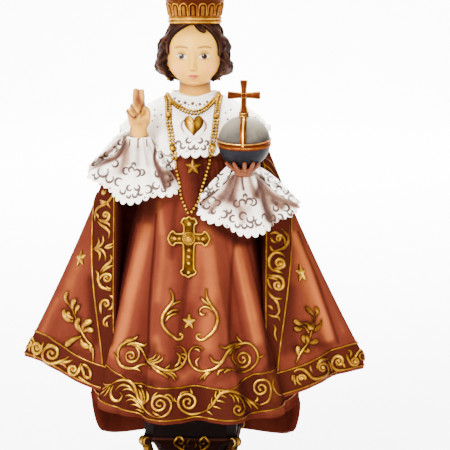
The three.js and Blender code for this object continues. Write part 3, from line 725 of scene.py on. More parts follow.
# Each stroke's width and places on the photograph, and for a spiral end the spiral's centre and turns
TUNIC_SCROLLS = [
    (1.5, LEFT_STEM),
    (1.5, RIGHT_STEM),
    (1.3, [(134.2, 345), (138.7, 350.6), (139.2, 356.1), (136.4, 360.6), (132, 362)], (131.4, 356.1), 1.3),
    (1.6, [(114.2, 352.8), (117, 357.2), (118.7, 361.7), (122, 366.1), (127.6, 368), (134.2, 368.3),
           (140.9, 364.8), (146.4, 364.4), (150.3, 368.3)]),
    (1.7, [(118.9, 359), (118.7, 350.6), (122, 345), (126.4, 341.6), (131, 340)]),
    (2.2, [(122.5, 346), (126.5, 341.6), (131.5, 340), (135.5, 338.6), (138.3, 335.8)]),
    (1.9, [(126.4, 345), (133.1, 343.3), (139.8, 344.4), (144.8, 345.6), (147.3, 342.8)]),
    (1.8, [(131, 344.5), (137, 345.4), (141.5, 349), (144.5, 354)]),
    (1.1, [(128.7, 368.3), (137.6, 369.2), (140.9, 371.7)]),
    (1.0, [(147.6, 361.7), (154.2, 363), (160.9, 360.6), (163.7, 355.8)]),
    (1.0, [(147.4, 360.8), (153.6, 361), (158.2, 358.6), (160.3, 354)]),
    (1.0, [(147, 359.6), (152, 358.8), (155, 356.6), (156.8, 353)]),
    (1.4, [(150.9, 365), (158.7, 371.7), (165, 375.6), (168.7, 379.4)]),
    (1.2, [(163, 372), (170.5, 374.6), (175.3, 380.6)]),
    (1.2, [(166, 371.2), (173.2, 373.4), (177.4, 378.3)]),
    (1.0, [(165.3, 368.9), (168.7, 366.1), (170.3, 363.3)]),
    (1.3, [(174.2, 367.2), (178.7, 362.8), (179.8, 356.1), (175.9, 352.4)]),
    (1.3, [(237.6, 347.2), (232.6, 352.8), (232, 359.4), (235.3, 364.4)], (242.6, 358.9), -1.6),
    (1.1, [(243.1, 343.3), (237.6, 338.6), (237, 335)]),
    (1.8, [(243, 344.4), (232, 344.8), (225.3, 348.3), (219.8, 345.6)]),
    (1.5, [(240.9, 346), (233.1, 349), (229.3, 354.6)]),
    (1.6, [(223.1, 360.4), (218.7, 362.8), (213.1, 361.1), (210.3, 356.1)]),
    (1.3, [(199.8, 357.6), (196.4, 361.7), (198.7, 367.6)]),
    (1.0, [(194, 349.4), (198, 349.4), (200.6, 352.2)]),
    (1.4, [(210.9, 370.8), (205.3, 374.4), (199.2, 380.6)]),
    (1.2, [(211, 372), (206.4, 375.4), (203.9, 380.4)]),
    (1.3, [(224.2, 368.9), (218.7, 371.7), (217.6, 376.1)]),
    (1.2, [(231, 369.4), (226.4, 370.6), (224, 373.6)]),
    (0.9, [(257.6, 357.4), (260.9, 356.7), (264.2, 355)]),
] + leaflets(LEFT_STEM, 0.66, 0.8, 3, 8, -55, -40)
TUNIC_BORDER = [
    (1.8, LEFT_PLUME),
    (1.8, RIGHT_PLUME),
    (0.9, [(112, 384.2), (107.8, 385), (104.6, 384.3), (103.6, 382)]),
    (0.8, [(109.5, 386), (105.8, 387.2), (102.6, 389.6)]),
    (0.8, [(108.6, 387), (105, 391), (100.4, 394.4)]),
    (1.0, [(111, 385.4), (109.2, 389.6), (106.6, 394), (103.4, 396.3)]),
    (1.8, [(113.6, 385.4), (111.7, 389.5), (111.2, 394.5), (113, 399), (117, 401.2), (120.8, 399.6),
           (122.5, 396), (121.2, 393.3), (119.3, 392.3)]),
    (1.3, [(133.4, 389.4), (126.4, 385.3), (121.2, 385.3), (117.6, 387.9), (115.5, 391.1)]),
    (1.1, [(137, 394.6), (131.7, 389.8), (126.6, 388.9), (121.6, 390.9)]),
    (1.4, [(140.4, 404.4), (135.4, 398.8), (131.2, 395.7), (127.5, 395.2), (125, 396.9)]),
    (1.1, [(141, 407), (134.6, 400.4), (129, 399.5), (126, 401.7)]),
    (1.0, [(142.8, 409.2), (138, 405.7), (133.5, 404.4), (129.6, 405.4)]),
    (0.9, [(144.4, 412.4), (139.8, 410.3), (137, 409.1), (134.8, 410.3)]),
    (0.8, [(142.6, 387.2), (140, 385.7), (137.3, 385)]),
    (1.9, [(142.6, 406.1), (142, 397.2), (138.4, 388.6)]),
    (1.9, [(143.7, 405), (145.3, 397.2), (141.2, 386.9)]),
    (1.7, [(144.6, 403.9), (148.7, 398.4), (146.2, 388.3)]),
    (1.4, [(156.4, 417.4), (164.2, 416.2), (169.8, 410.6), (170.9, 403.9), (167.6, 398.3), (162, 396.1)],
     (159.8, 404.4), -1.6),
    (1.3, [(152, 400.6), (154.2, 396.1), (158.1, 391.7)]),
    (1.3, [(163.1, 396.7), (168, 394.6), (172.4, 398.3), (173.1, 403)]),
    (1.1, [(152.6, 411), (156.4, 414.6), (161, 415.8)]),
    (1.4, [(204.2, 411.7), (196.4, 413.9), (188.7, 413.9), (180.9, 409.4), (178.1, 401.7), (180.9, 396.1),
           (187.6, 393.9), (194.2, 397.2)], (188.1, 402.2), 1.25),
    (1.2, [(179.6, 398.6), (181.4, 392.8), (189.8, 391.4)]),
    (1.0, [(192.4, 394.4), (191.4, 391), (190.3, 387.8)]),
    (1.0, [(177.6, 402), (174.6, 400.4), (175, 396.8)]),
    (1.5, [(237.6, 395), (242, 401.7), (244.2, 409.6), (239.8, 415)], (238.1, 409.4), 1.0),
    (1.3, [(243.1, 398.3), (248.7, 403.9), (252, 409.4)]),
    (1.3, [(245.3, 399), (253.1, 404), (258.7, 410)]),
    (1.2, [(229, 394), (232.6, 397), (234.4, 402.8)]),
    (1.2, [(233, 394), (237, 398), (238.6, 403.4)]),
    (1.4, [(259.8, 405), (267.6, 401.7), (270.3, 393.9), (269.8, 385), (265.3, 380), (258.7, 380.6)],
     (260.9, 388.3), -1.4),
    (1.2, [(254.6, 402), (257.6, 399.4), (257, 396)]),
    (1.2, [(273.5, 377.5), (272.5, 386), (276.5, 393.5), (282.5, 395.5)]),
] + leaflets(RIGHT_PLUME, 0.06, 0.34, 4, 9, -41, 18) + leaflets(RIGHT_PLUME, 0.04, 0.34, 4, 10, 59, 17)
FRONT_SCROLLS = [
    (1.9, [(170, 289.5), (173, 295.5), (172.5, 302), (167.5, 308.5), (163, 315.5), (162.5, 323.5),
           (167, 331.5), (174.5, 337.5)], (180, 335), -0.6),
    (1.4, [(168.5, 308.5), (174.5, 303.5), (182, 301)]),
    (1.4, [(166.5, 315.5), (172.5, 310.5), (179.5, 310)]),
    (1.4, [(165.5, 321.5), (170.5, 315.5), (178, 313.5)]),
    (1.9, [(206.5, 289.5), (207, 297.5), (211.5, 306), (216.5, 314), (217, 323.5), (213, 332),
           (205.5, 338.5)], (200, 335), 0.6),
    (1.4, [(201, 298), (206, 302.5), (210, 306)]),
    (1.4, [(199.5, 312), (201.5, 308), (207.5, 307), (213.5, 311.5)]),
    (1.4, [(199.5, 312), (202, 315), (206, 314)]),
]
CAPE_HEM_SCROLLS = [
    (1.7, [(44, 342), (42.5, 346), (41, 351.5), (37, 354), (33.5, 351), (33.5, 346)], (37.5, 347.5), 1.1),
    (1.5, [(31.5, 341), (30, 347), (29.5, 352)]),
    (1.3, [(33.5, 353.5), (35, 356), (35.5, 359)]),
    (1.8, [(69, 356.5), (64, 360), (57.5, 362.5), (51, 363.5), (45.5, 361), (43, 355), (45.5, 349),
           (51, 346)], (52, 353.5), 1.2),
    (1.4, [(58, 362.5), (63.5, 364), (67, 368.5)]),
    (1.4, [(60.5, 361.5), (67, 362), (73, 360)]),
    (1.4, [(46.5, 347.5), (49, 345), (52, 345)]),
    (1.7, [(81, 363), (80, 368), (78, 372.5), (74, 375.5), (70, 373), (69.5, 368.5)], (73.5, 369.5), 1),
    (1.5, [(81, 364.5), (84, 372.5), (85, 379.5)]),
    (1.5, [(88, 368), (91, 373), (90, 380.5)]),
    (1.5, [(85.5, 375), (87.5, 378), (91.5, 377)]),
    (1.4, [(82, 364), (87, 366), (91, 371)]),
    (1.4, [(78, 376), (83, 380), (90, 384)]),
    (1.7, [(293.5, 372.5), (298, 369.5), (303, 369.5), (307.5, 373), (312, 378), (318.5, 378.5),
           (324.5, 376), (328, 371), (326.5, 365)], (322.5, 368), -1.2),
    (1.5, [(328.5, 359), (323.5, 359.5), (319.5, 361.5), (317, 366), (317.5, 370.5)]),
    (1.5, [(310.5, 364.5), (310.5, 369.5), (312.5, 373)]),
    (1.5, [(299, 375), (297, 379), (299, 383.5), (302.5, 385)]),
    (1.4, [(304.5, 380.5), (305.5, 377), (302.5, 375)], (301.5, 378), -0.9),
    (1.3, [(294.5, 374.5), (294.5, 381.5), (296, 386)]),
    (1.3, [(293, 374.5), (292, 381.5)]),
    (1.8, [(345, 369), (340, 370.5), (334.5, 369), (331.5, 364), (333, 359)], (338.5, 361.5), 1.2),
    (1.4, [(327, 360), (330.5, 367), (332.5, 373.5)]),
    (1.4, [(341.5, 360.5), (343.5, 364.5), (345.5, 368.5)]),
    (1.6, [(346.5, 353.5), (348, 359.5), (351.5, 364.5), (356, 365), (358, 361.5)], (354, 361.5), -1),
    (1.4, [(347, 350), (351, 352), (350, 358)]),
]
CAPE_BAND_SCROLLS = [
    (1.4, [(106, 190.5), (106.5, 192.5), (104, 194)], (104, 192), 0.8),
    (1.5, [(112.5, 192.5), (112, 197), (109.5, 201), (107.5, 203), (109.5, 206.5), (111, 208.5)]),
    (1.1, [(100, 200), (103.5, 202), (108, 201.5)]),
    (1.1, [(100.5, 203), (104, 203), (107.5, 202)]),
    (1.7, [(108, 204), (102.5, 205.5), (98.5, 208.5), (96, 213), (95, 221.5)]),
    (1.2, [(96.5, 213), (98.5, 216), (98.5, 218.5)]),
    (1.5, [(98.5, 219), (102.5, 221), (107, 221), (109.5, 217.5)], (106, 215.5), -1),
    (1.5, [(98, 221.5), (101.5, 225), (106, 228), (109.5, 232), (109.5, 236), (108, 238.5)]),
    (1.1, [(100.5, 221.5), (105, 222.5), (109, 224), (110.5, 228)]),
    (1.3, [(94, 249.5), (98, 246), (99.5, 241.5), (98, 237)]),
    (1.3, [(94.5, 249.5), (100, 246.5), (103.5, 242), (103, 234.5)]),
    (1.3, [(94.5, 249.5), (99, 251.5), (100.5, 255.5), (99, 261)]),
    (1.3, [(95, 249.5), (100.5, 249), (104, 252), (106, 257), (105, 261)]),
    (1.3, [(104.5, 247.5), (109, 245.5), (113.5, 243.5)]),
    (1.3, [(104.5, 247.5), (109.5, 248), (113.5, 246)]),
    (1.5, [(110, 254.5), (112, 258), (110.5, 262), (106, 265.5), (102, 269.5), (100.5, 273)]),
    (1.5, [(113.5, 265.5), (109.5, 267), (105, 269.5), (102.5, 273)]),
    (1.5, [(96, 270.5), (98.5, 274.5), (98.5, 280), (100.5, 285), (105, 288.5)]),
    (1.3, [(99.5, 280.5), (101.5, 276.5), (106, 274), (110.5, 275)], (107, 278), 1.1),
    (1.5, [(98, 280.5), (100.5, 286), (106, 289), (112, 291)]),
    (1.2, [(106, 285.5), (108.5, 288.5), (112, 288.5)]),
    (1.5, [(101.5, 314.5), (101, 309.5), (101, 304), (103.5, 300.5)], (106, 304), 0.9),
    (1.3, [(108, 309.5), (111.5, 308.5), (113, 305), (112, 301)]),
    (1.3, [(109.5, 295.5), (113, 297), (112.5, 299.5)]),
    (1.3, [(112, 315.5), (108, 316.5), (104.5, 320), (104, 324), (107, 327.5)]),
    (1.3, [(107.5, 321.5), (107, 324), (108.5, 327.5)]),
    (1.6, [(281, 228.5), (284.5, 232.5), (287.5, 236.5), (287.5, 242.5), (283.5, 248), (277.5, 250),
           (272, 251.5)]),
    (1.2, [(270, 234), (273.5, 232.5), (278, 233.5), (280, 236)]),
    (1.2, [(270.5, 237), (272.5, 241.5), (277, 242.5)]),
    (1.2, [(269.5, 245.5), (272, 250), (275.5, 252)]),
    (1.3, [(284.5, 244.5), (284.5, 240), (282, 236.5)], (279, 239), -1),
    (1.6, [(285, 257), (281, 253.5), (275.5, 252.5), (271.5, 255), (269, 260), (269.5, 266), (274, 271),
           (280, 271.5)]),
    (1.9, [(274, 268.5), (279, 268.5), (283.5, 266.5)], (279, 263.5), -1.1),
    (1.4, [(272, 269.5), (278.5, 271.5), (284, 274)]),
    (1.7, [(267, 274.5), (272.5, 276), (278.5, 276.5), (282.5, 279.5), (283.5, 283.5)], (278, 285), 1.2),
    (1.2, [(267.5, 278), (269, 284.5), (272.5, 289.5)]),
    (1.2, [(267.5, 277.5), (274, 278.5), (278.5, 280.5)]),
    (1.6, [(267.5, 290), (270, 294.5), (274.5, 298.5), (283, 298.5)]),
    (1.6, [(272, 297), (277.5, 303), (279.5, 309.5)]),
    (1.3, [(273.5, 297.5), (277.5, 303.5), (279, 312), (275.5, 316.5), (271, 318)]),
    (1.3, [(267.5, 305.5), (271, 307), (272.5, 310)]),
    (1.3, [(268, 314.5), (273.5, 316.5), (278, 317), (280.5, 322.5)]),
    (1.3, [(273.5, 324), (275.5, 328.5), (274.5, 334), (277, 341.5)]),
]
SPRIGS = [
    (0.9, [(67.5, 297.5), (69, 304), (72.5, 309.5), (75.5, 316), (78, 321.5), (81.5, 331), (87, 340),
           (92.5, 346.5), (93.5, 354), (93, 362.5)]),
    (2.6, [(69, 304.5), (66, 298.5), (68, 292)]),
    (2.6, [(73, 309.5), (73, 304.5), (76.5, 299.5)]),
    (2.4, [(76, 314.5), (76.5, 310.5), (80, 305.5)]),
    (2.6, [(73.5, 321.5), (67.5, 319.5), (63.5, 310)]),
    (2.4, [(73.5, 319), (69.5, 316.5), (68.5, 311)]),
    (2.9, [(80.5, 332), (77, 325), (80.5, 318)]),
    (3, [(82.5, 331.5), (84.5, 325), (92.5, 320.5)]),
    (2.6, [(83, 332.5), (87.5, 329.5), (94, 331)]),
    (3, [(81.5, 336.5), (74, 339.5), (65.5, 346)]),
    (2.9, [(80.5, 338.5), (83, 344), (89.5, 348)]),
    (2.2, [(93.5, 354), (91, 348.5), (92, 344)]),
    (0.9, [(314.5, 316), (314, 323), (312, 329.5), (310, 336.5), (307, 343.5), (303, 349.5), (299, 356),
           (296, 363.5)]),
    (0.9, [(300.5, 324.5), (305.5, 328), (309, 333.5)]),
    (2.4, [(314.5, 316.5), (311, 312.5), (305.5, 307.5)]),
    (2.4, [(314.5, 316.5), (317.5, 312.5), (315, 307)]),
    (1.9, [(321.5, 320), (320, 325.5), (314, 331)]),
    (2.4, [(303, 324), (298.5, 324), (294, 319.5)]),
    (2.4, [(303, 327.5), (298.5, 330), (294, 327)]),
    (2.2, [(302.5, 322.5), (307.5, 324.5), (310.5, 330)]),
    (2.4, [(307.5, 322.5), (310, 325.5), (311.5, 330)]),
    (2.2, [(313.5, 321.5), (313, 325.5), (311.5, 330)]),
    (2.4, [(307.5, 342.5), (313, 342.5), (318, 340.5)]),
    (2.2, [(305.5, 343.5), (303, 340), (304, 334.5)]),
    (2.2, [(306, 346), (308, 340.5), (305, 335.5)]),
    (2.2, [(302.5, 350.5), (307.5, 351.5), (308, 347.5)]),
    (2.2, [(299.5, 356.5), (297.5, 351.5), (299, 345.5)]),
]


def around_strokes(strokes):
    """Brown wash and painted shade along the raised strokes."""
    return [(0.85, 1.8 + 0.6 * width, points) for width, points, *_ in strokes]


# The tunic

TUNIC_LINES = [
    # Turns in degrees, and how far down the tunic each gold line runs there
    ([-180, -75, -52, -43, -34, -21, 0, 22, 32, 41, 58, 80, 180],
     [0.858, 0.856, 0.844, 0.867, 0.886, 0.879, 0.881, 0.886, 0.87, 0.846, 0.838, 0.858, 0.858]),
    ([-180, -80, -55, -40, -25, 25, 40, 55, 80, 180],
     [0.957, 0.962, 0.97, 0.983, 0.993, 0.993, 0.983, 0.97, 0.962, 0.957]),
]
TUNIC_TOP = 142
TUNIC_FOLDS = [
    # Angle at the top and at the hem, spread and rise at the hem
    (-54, -52, 9, 3.4),
    (-39, -28, 6, -3.6),
    (-27, -14, 8, 3.4),
    (-10, 4, 8, -3.8),
    (9, 22, 9, 3.6),
    (25, 36, 6, -3.4),
    (46, 51, 9, 3.6),
    (-128, -131, 13, 5),
    (128, 131, 13, 5),
    (-156, -157, 9, -3.5),
    (156, 157, 9, -3.5),
]
TUNIC_CREASES = [
    # Finer creases: angle at the top and at the hem, spread, depth, share of the fall where they start
    (-47, -41, 2.2, -1.0, 0.25),
    (-33, -21, 2.0, 1.1, 0.2),
    (-17, -7, 2.4, -0.9, 0.45),
    (-3, 12, 2.6, 0.8, 0.5),
    (15, 29, 2.0, 0.9, 0.3),
    (31, 43, 2.4, -1.2, 0.2),
    (38, 45, 1.8, 0.8, 0.1),
    (56, 60, 2.6, -1.4, 0.15),
    (-61, -60, 2.6, -1.4, 0.15),
]


def fold_rise(angle, share):
    turn = angle / DEGREE
    rise = 0.0
    for top, hem, spread, height in TUNIC_FOLDS:
        rise = rise + height * bell(turn, mix(top, hem, share), spread) * smooth(share, 0.05, 1)
    return rise


def crease_rise(angle, share):
    turn = angle / DEGREE
    rise = 0.0
    for top, hem, spread, height, start in TUNIC_CREASES:
        rise = rise + height * bell(turn, mix(top, hem, share), spread) * smooth(share, start, start + 0.35)
    waist = 0.08 * np.cos(turn * 0.9) * bell(share, 0.12, 0.2)
    return rise + waist


def tunic_hem(angle):
    turn = np.abs(angle) / DEGREE
    train = 23 * smooth(turn, 80, 112) + 4.5 * bell(turn, 132, 17)
    wave = 1.6 * bell(angle / DEGREE, 7, 9)
    right = np.sin(angle) > 0
    beside = mix(np.where(right, -5.0, -1.5), np.where(right, -2.4, -3.4), smooth(turn, 75, 105))
    return mix(-4.6, beside, np.sin(angle) ** 2) + wave - train


def tunic_at(angle, share, inset=0.0, creased=True):
    middle = mix(-4, 12, share)
    half_width = mix(21, 58, share)
    turn = np.abs(angle) / DEGREE
    tuck = 3 * smooth(turn, 125, 150) * smooth(share, 0.85, 1) ** 2
    rise = fold_rise(angle, share) - inset - tuck
    if creased:
        rise = rise + crease_rise(angle, share)
    depth = np.where(np.cos(angle) > 0, mix(28.5, 64, share), mix(26, 34, share))
    return stack(
        mix(1.5, 1, share) + (half_width + rise) * np.sin(angle),
        middle - (depth + rise) * np.cos(angle),
        mix(TUNIC_TOP, tunic_hem(angle), share),
    )


# Painted highlights (lights) and painted shade (darks) on the robe: strength, half width, and places on the
# photograph
ROBE_LIGHTS = [
    (0.75, 7, [(147, 228), (139, 262), (132, 292), (124, 326), (116, 352)]),
    (0.5, 4, [(143, 246), (136, 272), (130, 296)]),
    (0.45, 4.5, [(159, 204), (162, 228), (163, 250), (160, 276), (158, 300)]),
    (0.35, 3, [(160, 212), (162, 232)]),
    (0.35, 6, [(170, 262), (169, 284), (166, 314)]),
    (0.5, 10, [(206, 232), (210, 258), (211, 292), (206, 326), (206, 346)]),
    (0.4, 6, [(208, 250), (210, 270), (211, 292)]),
    (0.35, 6, [(197, 246), (196, 268), (192, 296)]),
    (0.65, 6, [(237, 250), (244, 282), (250, 308), (257, 340)]),
    (0.4, 3.5, [(241, 266), (247, 292), (253, 318)]),
    (0.55, 6, [(184, 377), (194, 370), (205, 373)]),
    (0.4, 5, [(160, 356), (156, 338)]),
    (0.4, 7, [(272, 380), (274, 396)]),
]
ROBE_DARKS = [
    (1.0, 6, [(128, 196), (125, 226), (121, 260), (115, 300), (109, 342)]),
    (0.9, 9, [(142, 196), (137, 218)]),
    (0.75, 2, [(156, 214), (154, 246), (150.5, 288), (148.5, 326), (149, 352)]),
    (0.55, 4, [(175, 205), (172.5, 232), (172, 258)]),
    (0.6, 5, [(187, 276), (184, 300), (181, 322), (178, 345), (176, 364)]),
    (0.65, 2.8, [(235, 236), (232, 262), (230, 300), (229, 342)]),
    (0.85, 8, [(212, 222), (232, 236), (250, 241), (262, 230)]),
    (0.85, 4.5, [(259, 232), (257, 262), (262, 298), (267, 338), (271, 366)]),
    (0.5, 7, [(146, 352), (162, 364), (182, 366)]),
    (0.5, 6, [(216, 380), (232, 374), (246, 366)]),
    (0.88, 16, [(194, 150), (200, 178), (204, 208)]),
    (0.5, 5, [(150, 385), (153, 405)]),
    (0.45, 5, [(206, 392), (205, 412)]),
    (0.6, 7, [(128, 374), (146, 380), (168, 386)]),
    (0.6, 6, [(252, 380), (264, 372), (274, 364)]),
    (0.55, 5, [(155, 346), (157, 364)]),
    (0.5, 6, [(222, 350), (226, 366)]),
]


HEM_ROLL, ROBE_WALL = 1.4, 4.0


def robe_rings(angles, outside):
    """The outside, the rolled hem, and an inside that closes the casting."""
    rolled = []
    for lift in (0.5, 1.0, 1.57):
        ring = tunic_at(angles, 1.0, HEM_ROLL * (1 - math.cos(lift)))
        ring[:, 2] -= HEM_ROLL * math.sin(lift)
        rolled.append(ring)
    inner_hem = tunic_at(angles, 1.0, ROBE_WALL, False)
    inner_top = tunic_at(angles, 0.95, ROBE_WALL + 3, False)
    inner_top[:, 2] = 0
    return np.vstack([outside, rolled, [inner_hem, inner_top]])


def robe_shadow(angle, share, outside, fold, ahead):
    """Painted shade in the folds, round the scrolls, at the sides under the cape, under the arms and on the
    train; darker between the gold lines and towards the hem.
    """
    turn = np.abs(angle) / DEGREE
    scrolls = around_strokes(TUNIC_SCROLLS + TUNIC_BORDER + FRONT_SCROLLS)
    upper, lower = [np.interp(angle / DEGREE, *shares) for shares in TUNIC_LINES]
    return np.clip(np.maximum.reduce([
        -0.6 * fold * smooth(share, 0.05, 0.4) * (1 - 0.5 * ahead),
        airbrushed(outside, ROBE_DARKS) * ahead,
        0.85 * airbrushed(outside, scrolls) * ahead,
        0.72 * smooth(share - upper, -0.002, 0.004) * (1 - smooth(share - lower, -0.004, 0.004)),
        smooth(turn, 50, 72) * (1 - smooth(share, 0.62, 0.85)),
        0.8 * bell(share, 0.22, 0.16) * smooth(turn, 14, 48),
        0.3 * smooth(share, 0.78, 0.9) + 0.3 * smooth(share, 0.98, 1.0),
        0.25 * smooth(-outside[..., 2], 0, 14) * (np.cos(angle) <= 0),
    ]), 0, 1)


def robe():
    cols, rows = ((350, 116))
    angles = round_turns(cols, 0.75)
    share, angle = grid(np.linspace(0, 1, rows), angles)
    outside = tunic_at(angle, share)
    rings = robe_rings(angles, outside)
    fold = fold_rise(angle, share) / 3.6 + crease_rise(angle, share) / 2.2
    ahead = smooth(np.cos(angle), 0.0, 0.3)
    # Painted highlights on the fold ridges and along the light strokes, less on the sides
    ridge = np.clip(0.36 + 0.4 * fold * smooth(share, 0.05, 0.6) * (1 - 0.6 * ahead), 0, 1.2)
    ridge += 0.85 * airbrushed(outside, ROBE_LIGHTS) * ahead - 0.2 * smooth(np.abs(angle) / DEGREE, 52, 75)
    shadow = robe_shadow(angle, share, outside, fold, ahead)
    # The inside of the casting has no painted highlight and is painted in shade
    hidden = len(rings) - rows
    ridge = np.vstack([ridge, np.repeat(np.minimum(ridge[-1:], 0.3), hidden, axis=0)])
    shadow = np.vstack([shadow, np.repeat(np.clip(shadow[-1:], 0.3, 0.5), hidden, axis=0)])
    piece = Casting("robe", "figure", "painted_resin", ROBE)
    piece.add(skin(rings), ridge=ridge, shadow=shadow).build()
    return skin(rings)


# The cape

CAPE_TOP = 145
CAPE_EDGE = 39.5
CAPE_CORNER = 0.62
# How far above the hem the cape's two gold lines run
CAPE_LINES = (14.3, 2.0)


def cape_half_width(z):
    drop = np.minimum((132 - z) / 115, 0.98)
    return np.where(drop < 0, 41.8 + 34 * drop, 41.8 + 45 * drop + 8 * drop * drop)


def cape_hem(share):
    side = np.abs(share)
    corner = np.where(share > 0, 10.2, 15)
    inner = np.where(share > 0, -3.4, -1.6)
    return 2 + corner * bell(side, 0.62, 0.26) + inner * bell(side, 1, 0.2)


def cape_edge(fall):
    """How far to the side the cape's front edges are."""
    return CAPE_EDGE - 6 * (1 - smooth(fall, 0, 0.2))


def band_edge(fall):
    """How far to the side the cape's front bands reach."""
    return 53.6 - 7.5 * smooth(fall, 0.45, 1.0)


def cape_reach(share):
    """From 0 at the cape's corners to 1 at its front edges."""
    return np.clip((np.abs(share) - CAPE_CORNER) / (1 - CAPE_CORNER), 0, 1)


def cape_front(right, reach, fall, half_width):
    """How far to the side and forward the front panels are."""
    fold = np.where(right, -4, 2) * fall * bell(reach, 0.3, 0.09) + 1.5 * fall * bell(reach, 0.55, 0.12)
    fine = np.where(right, 0.9 * bell(reach, 0.42, 0.04), -0.8 * bell(reach, 0.2, 0.05))
    fold = fold + fine * fall + 0.6 * fall * np.sin(9 * reach + 2 * fall) * np.sin(math.pi * reach)
    edge_y = mix(-10, -21, smooth(fall, 0, 0.7))
    bulge = mix(1.5, 5, fall) * np.sin(math.pi * reach)
    return mix(half_width, cape_edge(fall), reach), mix(mix(-2, 8, fall), edge_y, reach) - bulge - fold


def cape_at(share, fall):
    """share runs from -1 at the left front edge over 0 at the middle of the back to 1 at the right one."""
    side = np.abs(share)
    z = mix(CAPE_TOP, cape_hem(share), fall)
    half_width = cape_half_width(z)
    corner_y = mix(-2, 8, fall)
    turn = np.minimum(side / CAPE_CORNER, 1) * 90 * DEGREE
    rise = fall * (2.4 * np.cos(share * 24) + 0.8 * np.cos(share * 61 + 1)) * np.cos(turn)
    back_x = (half_width + 0.4 * rise) * np.sin(turn)
    back_y = corner_y + (mix(24, 51.1, fall) + rise - corner_y) * np.cos(turn)
    front_x, front_y = cape_front(share >= 0, cape_reach(share), fall, half_width)
    behind = side <= CAPE_CORNER
    x = np.where(behind, back_x, front_x) * np.where(share < 0, -1, 1)
    return stack(x, np.where(behind, back_y, front_y), z)


# Painted highlights (lights) and painted shade (darks) on the cape: strength, half width, and places on the
# photograph
CAPE_LIGHTS = [
    (0.5, 8, [(80, 258), (72, 278), (66, 296)]),
    (0.6, 6, [(54, 300), (46, 318), (41, 330)]),
    (0.9, 5.5, [(295, 236), (304, 260), (311, 282), (317, 300), (324, 320), (329, 338)]),
    (0.5, 8, [(300, 262), (306, 284), (312, 306), (317, 326)]),
    (0.5, 4, [(310, 250), (320, 272), (331, 297), (344, 330)]),
]
CAPE_DARKS = [
    (0.75, 8, [(92, 280), (93, 310), (96, 340)]),
    (0.6, 6, [(46, 340), (66, 346), (92, 358)]),
    (0.7, 2.6, [(298, 232), (305, 250), (312, 266), (318, 282), (324, 300), (331, 320), (338, 342)]),
    (0.6, 6, [(288, 240), (286, 280), (284, 320), (284, 352)]),
    (0.6, 8, [(291, 290), (291, 320), (294, 345)]),
    (0.6, 6, [(296, 350), (312, 346), (330, 344)]),
    (0.9, 6, [(265, 236), (262, 280), (262, 310)]),
]


def cape_shadow(share, fall, outside, reach, back_wave, ahead):
    """Painted shade in the valleys, at the edges, under the collar and round the scrolls; darker between the
    gold lines.
    """
    valley = np.where(share > 0, bell(reach, 0.3, 0.07), 0.5 * bell(reach, 0.72, 0.1))
    shadow = 0.3 * valley * smooth(fall, 0.15, 0.6)
    shadow = shadow + 0.4 * bell(fall, 0.0, 0.22) + 0.4 * np.clip(-back_wave, 0, 1) * fall
    up = (1 - fall) * (CAPE_TOP - cape_hem(share))
    hem_band = smooth(CAPE_LINES[0] + 0.6 - up, 0, 0.8) * smooth(up, CAPE_LINES[1] - 1.0, CAPE_LINES[1])
    front_band = smooth(band_edge(fall) - np.abs(outside[..., 0]), 0, 1.2) * (outside[..., 1] < 0)
    scrolls = around_strokes(CAPE_HEM_SCROLLS + CAPE_BAND_SCROLLS + SPRIGS)
    return np.clip(np.maximum.reduce([
        shadow + 0.5 * smooth(reach, 0.93, 1.0),
        0.65 * hem_band,
        0.7 * front_band,
        airbrushed(outside, CAPE_DARKS) * ahead,
        0.8 * ahead * airbrushed(outside, scrolls),
    ]), 0, 1)


def cape():
    cols, rows = ((360, 96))
    falls = np.linspace(0, 1, rows)
    fall, share = grid(falls, np.linspace(-1, 1, cols))
    outside = cape_at(share, fall)
    z_inside, y_inside = mix(CAPE_TOP, 6, falls), mix(-2, -9, falls)
    inside = [stack(x, y, z_inside) for x, y in (
        (CAPE_EDGE - 2.5, y_inside), (CAPE_EDGE - 9, 2), (9 - CAPE_EDGE, 2), (2.5 - CAPE_EDGE, y_inside))]
    rings = np.concatenate([outside, np.stack(inside, axis=1)], axis=1)
    reach = cape_reach(share)
    back_wave = np.cos(share * 24) * (reach <= 0)
    ahead = smooth(reach, 0.0, 0.12)
    # Painted highlights on the back folds and along the light strokes
    ridge = 0.38 + 0.3 * back_wave * fall + 0.8 * airbrushed(outside, CAPE_LIGHTS) * ahead
    shadow = cape_shadow(share, fall, outside, reach, back_wave, ahead)
    # The inside is painted in shade
    ridge = np.hstack([ridge, np.zeros((rows, len(inside)))])
    shadow = np.hstack([shadow, np.ones((rows, len(inside)))])
    piece = Casting("cape", "figure", "painted_resin", ROBE)
    piece.add(skin(rings), ridge=ridge, shadow=shadow).build()
    return skin(rings)


# Lace: scalloped edges, eyelets and curls, in parts along the hem and up from it

SCALLOP = 4.3
LACE_CELL = 2 * SCALLOP


def scallops(along):
    """How far the edge hangs down, from 0 between two scallops to 1 in the middle of one."""
    return np.abs(np.sin(math.pi * along / SCALLOP)) ** 0.6


def within_cell(value, cell):
    """Where a value lies in its cell of a repeat, from the cell's middle."""
    return np.mod(value, cell) - cell / 2


def lace_lengths(ring):
    """How far round a ring each point lies, stretched to whole repeats of the lace."""
    along = length_along(np.vstack([ring, ring[:1]]))
    return along[:-1] * round(along[-1] / LACE_CELL) * LACE_CELL / along[-1]


def cut_work(along, up):
    """1 in the cuts of the lace, 0 on its cloth, where a repeat is plain enough."""
    return np.maximum.reduce([
        dot(within_cell(along, SCALLOP), up - 1.7, 0.5),
        curl(within_cell(along, LACE_CELL), up - 5.4, 1.6, 90),
        curl(within_cell(along + SCALLOP, LACE_CELL), up - 8.8, 1.6, -90),
    ])


def dot(x, y, radius):
    return 1 - smooth(np.hypot(x, y), radius * 0.6, radius * 1.3)


